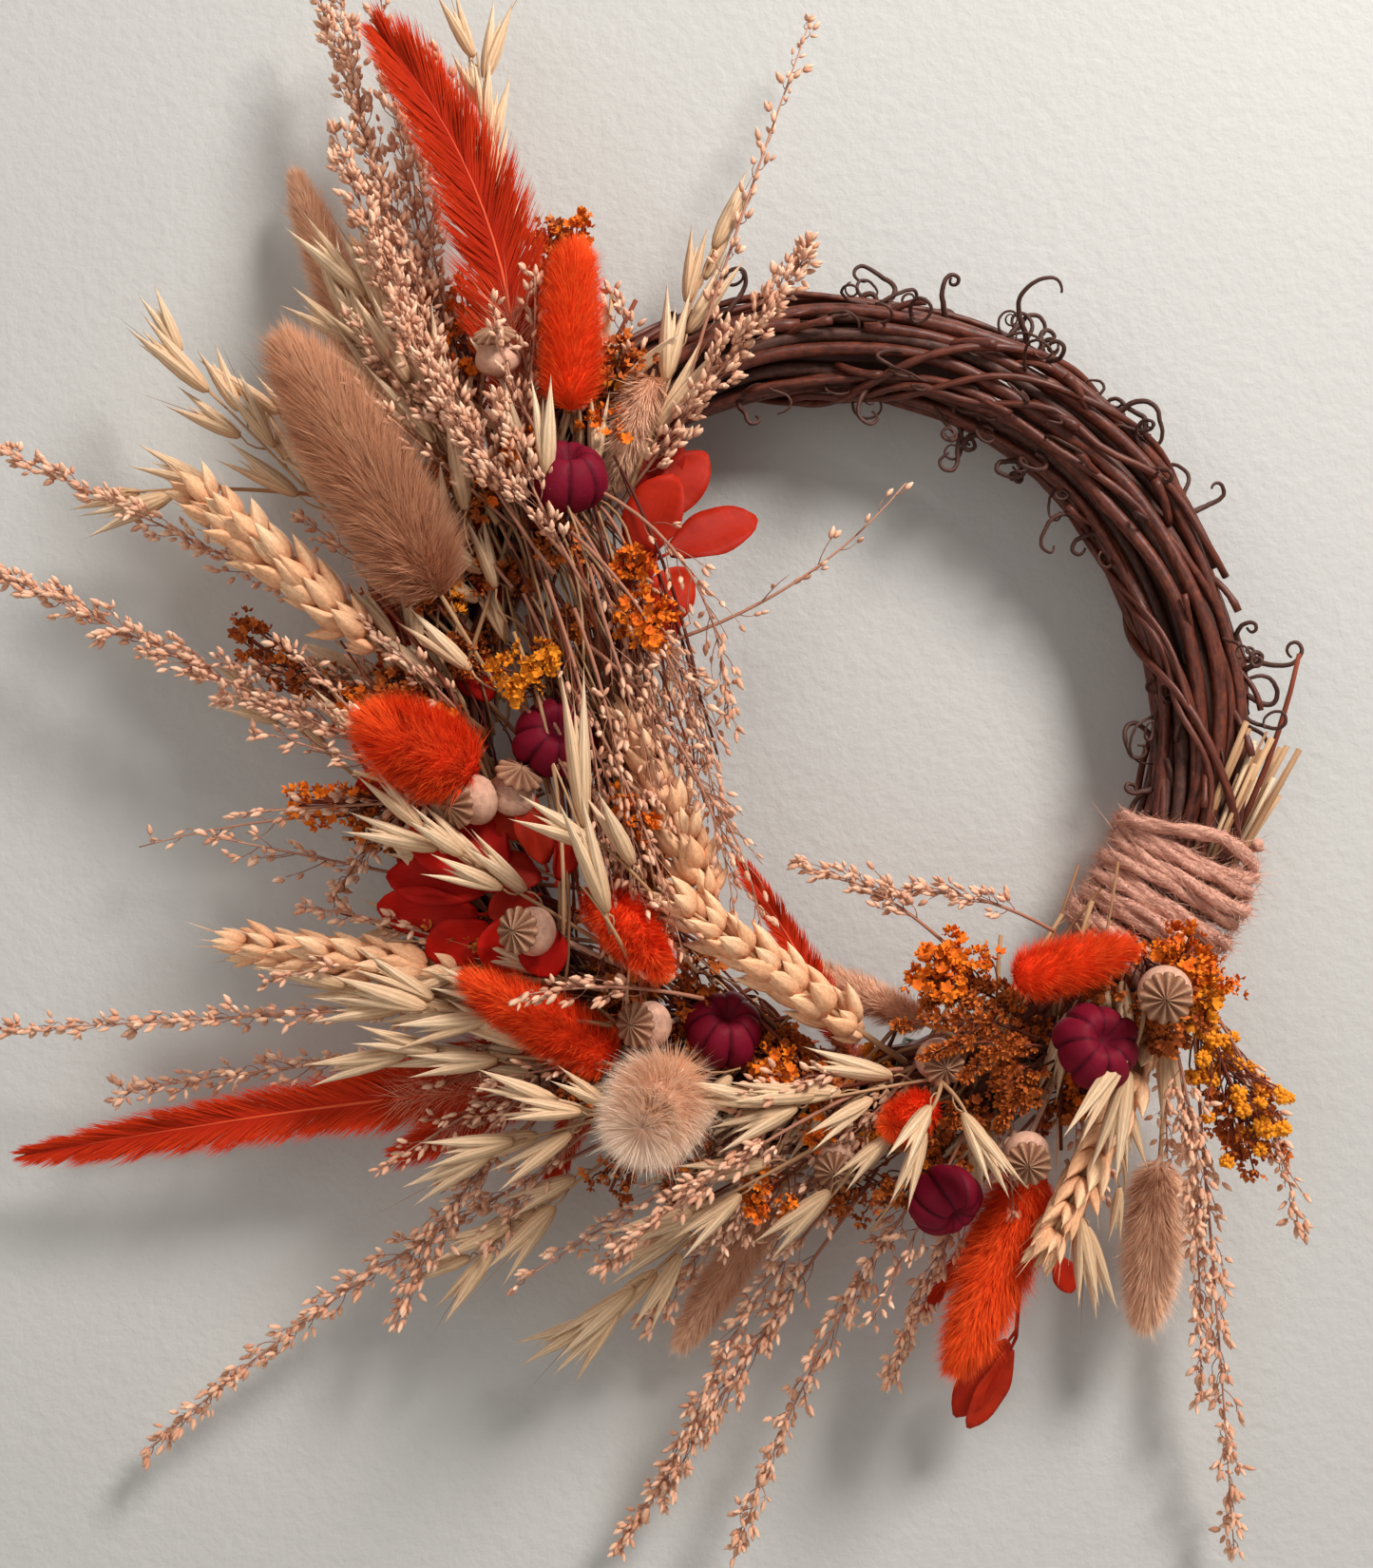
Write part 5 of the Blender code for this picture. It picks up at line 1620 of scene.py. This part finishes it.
class WREATH_OT_vine(bpy.types.Operator):
    """Wind the vine canes, the binding canes and the curled tendrils"""
    bl_idname = "wreath.vine"
    bl_label = "Vine Ring"

    STEPS_PER_TURN = 150

    # Large curls: clock in degrees, angle round the bundle (90 is the front, 0 outside, 180
    # inside), length in millimetres, number of curls, first lean away from the ring in degrees
    CURLS = (
        (85, 5, 24, 0.9, 30), (82, 0, 40, 0.75, 35), (79, 20, 26, 1.5, 20), (76, 0, 48, 0.9, 25),
        (73, 15, 30, 1.2, 30), (64, 5, 34, 0.6, 55), (61, 10, 46, 0.75, 50), (58, 0, 30, 1.3, 40),
        (47, 5, 42, 1.1, 60), (45, 0, 30, 1.7, 50), (42, 10, 36, 0.8, 30), (30, 5, 26, 0.8, 30),
        (9, 0, 40, 1.1, 50), (7, 10, 30, 1.6, 40), (4, 10, 38, 0.9, 55), (116, 10, 34, 0.8, 20),
        (113, 5, 22, 1.2, 20), (66, 170, 36, 0.8, 30), (63, 165, 34, 1.0, 35),
        (61, 175, 26, 1.4, 30), (52, 170, 34, 1.2, 35), (50, 165, 26, 1.6, 40),
        (33, 170, 24, 0.7, 25), (-5, 175, 44, 1.3, 40), (-9, 172, 40, 1.8, 35),
        (-11, 165, 24, 1.4, 40), (104, 170, 20, 0.8, 30),
    )
    STUBS = (
        (72, 70, 9), (68, 120, 12), (63, 60, 8), (57, 95, 10), (49, 60, 9), (40, 110, 9),
        (30, 70, 8), (22, 50, 10), (13, 100, 8), (3, 60, 12), (-6, 95, 9), (96, 80, 9),
        (88, 130, 8), (104, 70, 8), (82, 45, 8), (60, 165, 8), (35, 160, 7), (8, 25, 9),
    )

    def cane(self, growth, rng, start, slot, thickness, lay, wander, turns=2.0, dark=0):
        """One cane that goes round the ring and slowly round its bundle."""
        count = int(self.STEPS_PER_TURN * turns)
        travel = np.linspace(0, TAU * turns - 0.16, count)
        phases = rng.random(6) * TAU
        sway = np.sin(3 * travel + phases[0]) + 0.6 * np.sin(7 * travel + phases[1])
        sway = sway + 0.35 * np.sin(13 * travel + phases[4])
        drift = np.sin(2 * travel + phases[2]) + 0.6 * np.sin(5 * travel + phases[3])
        drift = drift + 0.3 * np.sin(11 * travel + phases[5])
        out = lay + wander * MM * sway * 0.65
        place = slot + (travel + start) / 2 + 0.15 * wander * drift
        points = on_ring(start + travel, place, out)
        long = travel * RING_RADIUS
        every = rng.uniform(52, 78) * MM
        beat = np.abs((long / every + rng.random()) % 1 - 0.5) * 2
        knots = np.exp(-((1 - beat) / 0.05) ** 2)
        radii = thickness / 2 * (1 + 0.07 * np.sin(travel * 6 + phases[1]) + 0.20 * knots)
        radii = radii * np.interp(travel, [0, 0.06, travel[-1] - 0.05, travel[-1]], [0.8, 1, 1, 0.7])
        kink = rng.normal(0, 0.14 * MM, (count, 3)) * knots[:, None]
        growth.stem(points + kink, radii, 0.5, dark, 10, points - CENTRE, length=long[-1] / 0.1)

    def place_on(self, clock, place, share):
        """A foot in the bundle, and the ways away from it and along the ring."""
        clock, place = math.radians(clock), math.radians(place)
        foot = on_ring(clock, place, BUNDLE_RADIUS * share)
        away = unit(on_ring(clock, place, BUNDLE_RADIUS * 2) - foot)
        along = unit(on_ring(clock + 0.02, place, 0.01) - on_ring(clock, place, 0.01))
        return foot, away, along

    def tendril(self, growth, rng, clock, place, long, curls, lean, thick):
        """A wiry shoot that runs off the bundle and winds up tighter and tighter."""
        foot, away, along = self.place_on(clock, place, 0.9)
        along = along * rng.choice([-1, 1])
        third = np.cross(away, along)
        count = 46
        steps = np.linspace(0, 1, count)
        wiggle = rng.uniform(0.2, 0.6) * np.sin(steps * rng.uniform(5, 12) + rng.random() * TAU)
        wiggle = wiggle + np.cumsum(rng.normal(0, 0.11, count))
        sign = rng.choice([-1, 1, 1])
        angle = math.radians(lean) + wiggle + sign * curls * TAU * steps ** 2.1
        rise = 0.35 * np.sin(steps * 4 + rng.random() * TAU) + rng.uniform(-0.15, 0.15)
        ways = np.outer(np.cos(angle), along) + np.outer(np.sin(angle), away)
        ways = unit(ways + np.outer(rise, third))
        points = foot + np.cumsum(ways, axis=0) * long * MM / count
        points[:, 1] = np.minimum(points[:, 1], DOOR_Y - 2 * MM)
        radii = np.interp(steps, [0, 0.25, 0.8, 1], [1.0, 0.85, 0.6, 0.4]) * thick * MM
        growth.stem(points, radii, 0.4, 0, 7, third, length=long / 100)

    def execute(self, context):
        thickness = context.scene.wreath_vine.cane_thickness
        for number, node in enumerate(named_nodes("vine_cane")):
            rng = seeded(node)
            growth = Growth(GRAIN_MAP)
            start = TAU * (number + 0.3) / 5
            slot = TAU * number / 10
            lay = BUNDLE_RADIUS - thickness / 2
            self.cane(growth, rng, start, slot, thickness * rng.uniform(0.9, 1.12), lay, 1.0)
            # this deeper cane wears the darker tendril bark: painted shade on the lower layer of the
            # bundle
            self.cane(growth, rng, start + 2.0, slot + 0.33, thickness, lay - 2.4 * MM, 1.2, 1.9, 1)
            self.cane(growth, rng, start + 4.1, slot + 0.9, thickness * 0.66, lay + 0.8 * MM, 1.7,
                      1.4)
            self.cane(growth, rng, start + 5.0, slot + 2.4, thickness * 0.5, lay + 1.4 * MM, 1.9,
                      0.8)
            growth.finish(node + "_bark", ("vine_bark", "tendril_bark"), "vine", (node,))
        bark = bpy.data.materials["tendril_bark"]
        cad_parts["core_cane"].data.materials[0] = bark
        self.binding()
        self.tendrils()
        return {"FINISHED"}

    def binding(self):
        """Thin canes that run slantwise round the bare part of the ring."""
        growth = Growth(GRAIN_MAP)
        for start, end, turns, phase, thick in (
            (-18, 110, 1.7, 0.4, 2.6), (-12, 112, 1.2, 3.4, 2.1), (0, 118, 0.8, 1.8, 1.8),
            (20, 96, 0.4, 0.6, 2.2), (-20, 60, 0.5, 1.2, 2.0),
        ):
            count = int(70 * turns)
            share = np.linspace(0, 1, count)
            clock = np.radians(start + (end - start) * share)
            wobble = 0.12 * np.sin(share * 23 + phase)
            out = BUNDLE_RADIUS + thick / 2 * MM + 0.4 * MM * np.sin(share * 31)
            points = on_ring(clock, phase + TAU * turns * share + wobble, out)
            centres = on_ring(clock, 0, 0)
            growth.stem(points, thick / 2 * MM, 0.5, 0, 8, points - centres, length=turns)
        growth.finish("binding_cane_bark", ("vine_bark",), "vine", ("binding_cane",))

    def tendrils(self):
        rng = seeded("tendrils")
        growth = Growth(GRAIN_MAP)
        for clock, place, long, curls, lean in self.CURLS:
            self.tendril(growth, rng, clock, place, long * 0.74, curls, lean, 0.95)
        for _ in range(64):
            clock = rng.choice([rng.uniform(-22, 120), rng.choice([80, 60, 44, 5]) + rng.normal() * 4])
            place = rng.choice([rng.uniform(-10, 40), rng.uniform(45, 135), rng.uniform(145, 180)])
            self.tendril(growth, rng, clock, place, rng.uniform(14, 34), rng.uniform(0.5, 1.6),
                         rng.uniform(5, 40), rng.uniform(0.5, 0.9))
        for clock, place, long in self.STUBS:
            foot, away, along = self.place_on(clock, place, 0.75)
            way = unit(along * rng.choice([-1, 1]) + away * rng.uniform(0.35, 0.6))
            tip = foot + way * (long + 6) * MM
            line = arc(foot, tip, away * 1.5, 7)
            thick = rng.uniform(0.8, 1.4) * MM
            growth.stem(line.points, np.array([1, 1, 1, 1, 1, 1.2, 1.1]) * thick, 0.5, 1, 8,
                        away, length=0.2)
        growth.finish("vine_tendrils", ("tendril_bark", "vine_bark"), "vine")


class WREATH_OT_yarn(bpy.types.Operator):
    """Wind the yarn round the ring and lay the cut straw ends under it"""
    bl_idname = "wreath.yarn"
    bl_label = "Yarn and Straw"

    def yarn(self, context):
        low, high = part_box("yarn_wrap")
        middle = (np.array(low) + np.array(high)) / 2 - CENTRE
        clock = math.atan2(middle[2], middle[0])
        settings = context.scene.wreath_vine
        turns, thick = settings.yarn_turns, settings.yarn_thickness
        span = turns * thick * 0.94 / RING_RADIUS
        rng = seeded("yarn")
        growth = Growth(GRAIN_MAP)
        steps = turns * 64 + 1
        share = np.linspace(0, 1, steps)

        def uneven(knots):
            """A value that wanders along the yarn, a number of knots to each turn."""
            places = np.linspace(0, 1, turns * knots)
            return np.interp(share, places, rng.normal(0, 1, turns * knots))

        noise, lift = uneven(5), uneven(4)
        clocks = clock - span / 2 + span * share + noise * 0.016
        place = TAU * turns * share
        bulge = 4.8 * np.clip(np.cos(place), 0, 1) ** 1.5  # over the straws on the outside of the ring
        out = BUNDLE_RADIUS + thick * 0.52 + (1.6 + lift * 1.1 + bulge) * MM
        route = on_ring(clocks, place, out)
        centres = on_ring(clocks, 0, 0)
        ways, sides, ups = frames_along(route, route - centres)
        twist = np.linspace(0, turns * TAU * 4.2, steps)
        for ply in range(2):
            angle = twist + ply * math.pi
            shift = sides * np.cos(angle)[:, None] + ups * np.sin(angle)[:, None]
            points = route + shift * thick * 0.17
            radii = thick * 0.40 * (1 + 0.14 * uneven(9))
            growth.stem(points, radii, 0.5, 0, 9, shift, length=turns * 1.1)
            for total, low, high, spread, longest in (
                (7500, 0.03, 0.30, 0.18, 8.0), (3200, 0.3, 1.1, 0.30, 7.0), (160, 0.6, 1.4, 0.3, 16.0),
            ):
                picks = rng.integers(1, steps - 1, total)
                turn = rng.random(total) * TAU
                around = sides[picks] * np.cos(turn)[:, None] + ups[picks] * np.sin(turn)[:, None]
                feet = points[picks] + around * (radii[picks] * 0.92)[:, None]
                headings = unit(around * rng.uniform(low, high, (total, 1))
                                + ways[picks] * rng.choice([-1, 1], (total, 1))
                                + rng.normal(0, spread, (total, 3)))
                growth.copies("hair", feet, headings, around,
                              rng.uniform(0.4, 1.0, total) * longest * MM, 0.22 * MM,
                              rng.random(total), 0,
                              rng.uniform(-0.25, 0.1, total))
        growth.finish("yarn_wrap_turns", ("wool",), "yarn", ("yarn_wrap",))

    def straws(self):
        """Cut stem ends: straws of unlike width that fan out past the yarn, each with a dark disc on
        its cut end, painted shade that stands for the hollow inside.
        """
        rng = seeded("straws")
        growth = Growth()
        foot, tip = face(101, -63, 26), face(129, -4, 28)
        way = unit(tip - foot)
        side = unit(np.cross(way, FRONT))
        for _ in range(36):
            spread = rng.uniform(-1, 1)
            start = foot + side * spread * 5 * MM + FRONT * rng.uniform(-9, 7) * MM
            heading = unit(way + side * spread * 0.13 + FRONT * rng.uniform(-0.07, 0.09))
            end = start + heading * rng.uniform(47, 68) * MM
            thick = rng.uniform(0.4, 1.0) * MM
            bow = arc(start, end, side * rng.uniform(-1.2, 1.2), 5)
            growth.stem(bow.points, thick, rng.uniform(0.3, 1.0), rng.choice([0, 0, 0, 0, 2]), 9)
            # a dark disc on the cut end: painted shade for the hollow inside the straw
            growth.stem([end, end + heading * 0.05 * MM], thick * 0.62, 0.95, 1, 9)
        growth.stem(arc(face(119, -34, 26), face(137, 20, 30), (2, 0, 0), 6).points,
                    np.linspace(1.0, 0.7, 6) * MM, 0.2, 1, 7)
        materials = ("straw_stem", "dark_twig", "oat_husk")
        growth.finish("straw_ends_cut", materials, "straws", ("straw_ends",))

    def execute(self, context):
        self.yarn(context)
        self.straws()
        wire = bpy.data.materials["florist_wire"]
        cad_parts["florist_wire"].data.materials[0] = wire
        return {"FINISHED"}


class WREATH_OT_stage(bpy.types.Operator):
    """Set up the door, the floor, the light and the camera"""
    bl_idname = "wreath.stage"
    bl_label = "Stage"

    VIEW_DISTANCE = 0.6
    VIEW_HEIGHT = 0.4583  # how much of the wreath's plane the picture's height takes in
    VIEW_MIDDLE = (-0.0396, -0.0175)  # the picture's middle, from the ring's centre
    SENSOR = 24.0

    def door_material(self, paint):
        """Matt paint over a slightly uneven wall, seen from the front only."""
        tree, shader = start_material("door_paint", 0.75, 0.5)
        broad = tree.object_noise(9.0, 2.0, 0.5)
        darker = tuple(part * 0.94 for part in paint[:3]) + (1.0,)
        tree.join(tree.mix(broad, tuple(paint), darker), shader.inputs["Base Color"])
        tree.lift(tree.object_noise(300.0, 3.0, 0.55), 0.3, 0.0014, shader)
        back = tree.node("ShaderNodeNewGeometry")
        clear = tree.node("ShaderNodeBsdfTransparent")
        either = tree.node("ShaderNodeMixShader")
        tree.join(back.outputs["Backfacing"], either.inputs[0])
        tree.join(shader.outputs[0], either.inputs[1])
        tree.join(clear.outputs[0], either.inputs[2])
        output = tree.tree.nodes["Material Output"]
        tree.join(either.outputs[0], output.inputs["Surface"])

    def light(self, name, place, target, size, power, tint):
        bpy.ops.object.light_add(type="AREA", location=place)
        lamp = bpy.context.object
        lamp.name = name
        lamp.data.shape = "DISK"
        lamp.data.size = size
        lamp.data.energy = power
        lamp.data.color = tint
        lamp.rotation_euler = (Vector(target) - Vector(place)).to_track_quat("-Z", "Y").to_euler()

    def execute(self, context):
        settings = context.scene.wreath_stage
        middle = Vector(CENTRE)
        plane, upright = bpy.ops.mesh.primitive_plane_add, (math.pi / 2, 0, 0)
        door = add_primitive(
            plane, size=1.0, location=(middle.x, DOOR_Y, middle.z + 0.2), rotation=upright)
        door.name = "door_backdrop"
        door.scale = (5.0, 2.8, 1.0)
        bpy.ops.object.transform_apply(location=True, rotation=True, scale=True)
        self.door_material(settings.door_colour)
        door.data.materials.append(bpy.data.materials["door_paint"])
        door.visible_shadow = False
        floor = add_primitive(plane, size=6.0, location=(0, 0, middle.z - 1.2))
        floor.name = "floor"
        _, shader = start_material("floor_paint", 0.8, 0.5)
        shader.inputs["Base Color"].default_value = (0.7, 0.7, 0.68, 1.0)
        floor.data.materials.append(bpy.data.materials["floor_paint"])
        self.light("key_light", (0.66, -0.90, 0.86), middle, 0.5, settings.key_power,
                   (1.0, 0.985, 0.96))
        self.light("fill_light", (-0.9, -1.5, 0.0), middle, 1.6, 6.0, (1.0, 0.99, 0.97))
        self.light("back_light", (0.3, 1.4, 0.5), middle, 1.2, 14.0, (1.0, 1.0, 1.0))
        world = bpy.data.worlds.new("soft_room")
        world.use_nodes = True
        world.node_tree.nodes["Background"].inputs[0].default_value = (1.0, 0.985, 0.965, 1.0)
        world.node_tree.nodes["Background"].inputs[1].default_value = 0.27
        context.scene.world = world
        context.scene.view_settings.view_transform = "Standard"
        across, up = self.VIEW_MIDDLE
        bpy.ops.object.camera_add(
            location=(middle.x + across, middle.y - self.VIEW_DISTANCE, middle.z + up),
            rotation=upright)
        camera = bpy.context.object
        camera.name = "front_camera"
        camera.data.sensor_fit = "VERTICAL"
        camera.data.sensor_height = self.SENSOR
        camera.data.lens = self.SENSOR * self.VIEW_DISTANCE / self.VIEW_HEIGHT
        context.scene.camera = camera
        return {"FINISHED"}


class WREATH_PT_panel(bpy.types.Panel):
    """The wreath's pieces, in the order they are made"""
    bl_label = "Harvest Wreath"
    bl_idname = "WREATH_PT_panel"
    bl_space_type = "VIEW_3D"
    bl_region_type = "UI"
    bl_category = "Wreath"

    def draw(self, context):
        scene = context.scene
        for settings in (scene.wreath_vine, scene.wreath_plants, scene.wreath_stage):
            box = self.layout.box()
            for name in settings.__annotations__:
                box.prop(settings, name)
        for operator in OPERATORS:
            self.layout.operator(operator.bl_idname)


OPERATORS = (
    WREATH_OT_stage, WREATH_OT_vine, WREATH_OT_yarn, WREATH_OT_pods, WREATH_OT_leaves,
    WREATH_OT_feathers, WREATH_OT_ears, WREATH_OT_oats, WREATH_OT_panicles,
    WREATH_OT_flowers, WREATH_OT_filling, WREATH_OT_bunny_tails,
)
SETTINGS = {
    "wreath_vine": WreathVineSettings,
    "wreath_plants": WreathPlantSettings,
    "wreath_stage": WreathStageSettings,
}


def register():
    for name, settings in SETTINGS.items():
        bpy.utils.register_class(settings)
        setattr(bpy.types.Scene, name, PointerProperty(type=settings))
    for operator in OPERATORS:
        bpy.utils.register_class(operator)
    bpy.utils.register_class(WREATH_PT_panel)


def unregister():
    bpy.utils.unregister_class(WREATH_PT_panel)
    for operator in reversed(OPERATORS):
        bpy.utils.unregister_class(operator)
    for name, settings in SETTINGS.items():
        delattr(bpy.types.Scene, name)
        bpy.utils.unregister_class(settings)


def main():
    register()
    make_materials()
    SHAPES.update(model_shapes())
    for operator in OPERATORS:
        group, name = operator.bl_idname.split(".")
        getattr(getattr(bpy.ops, group), name)()


if __name__ == "__main__":
    main()
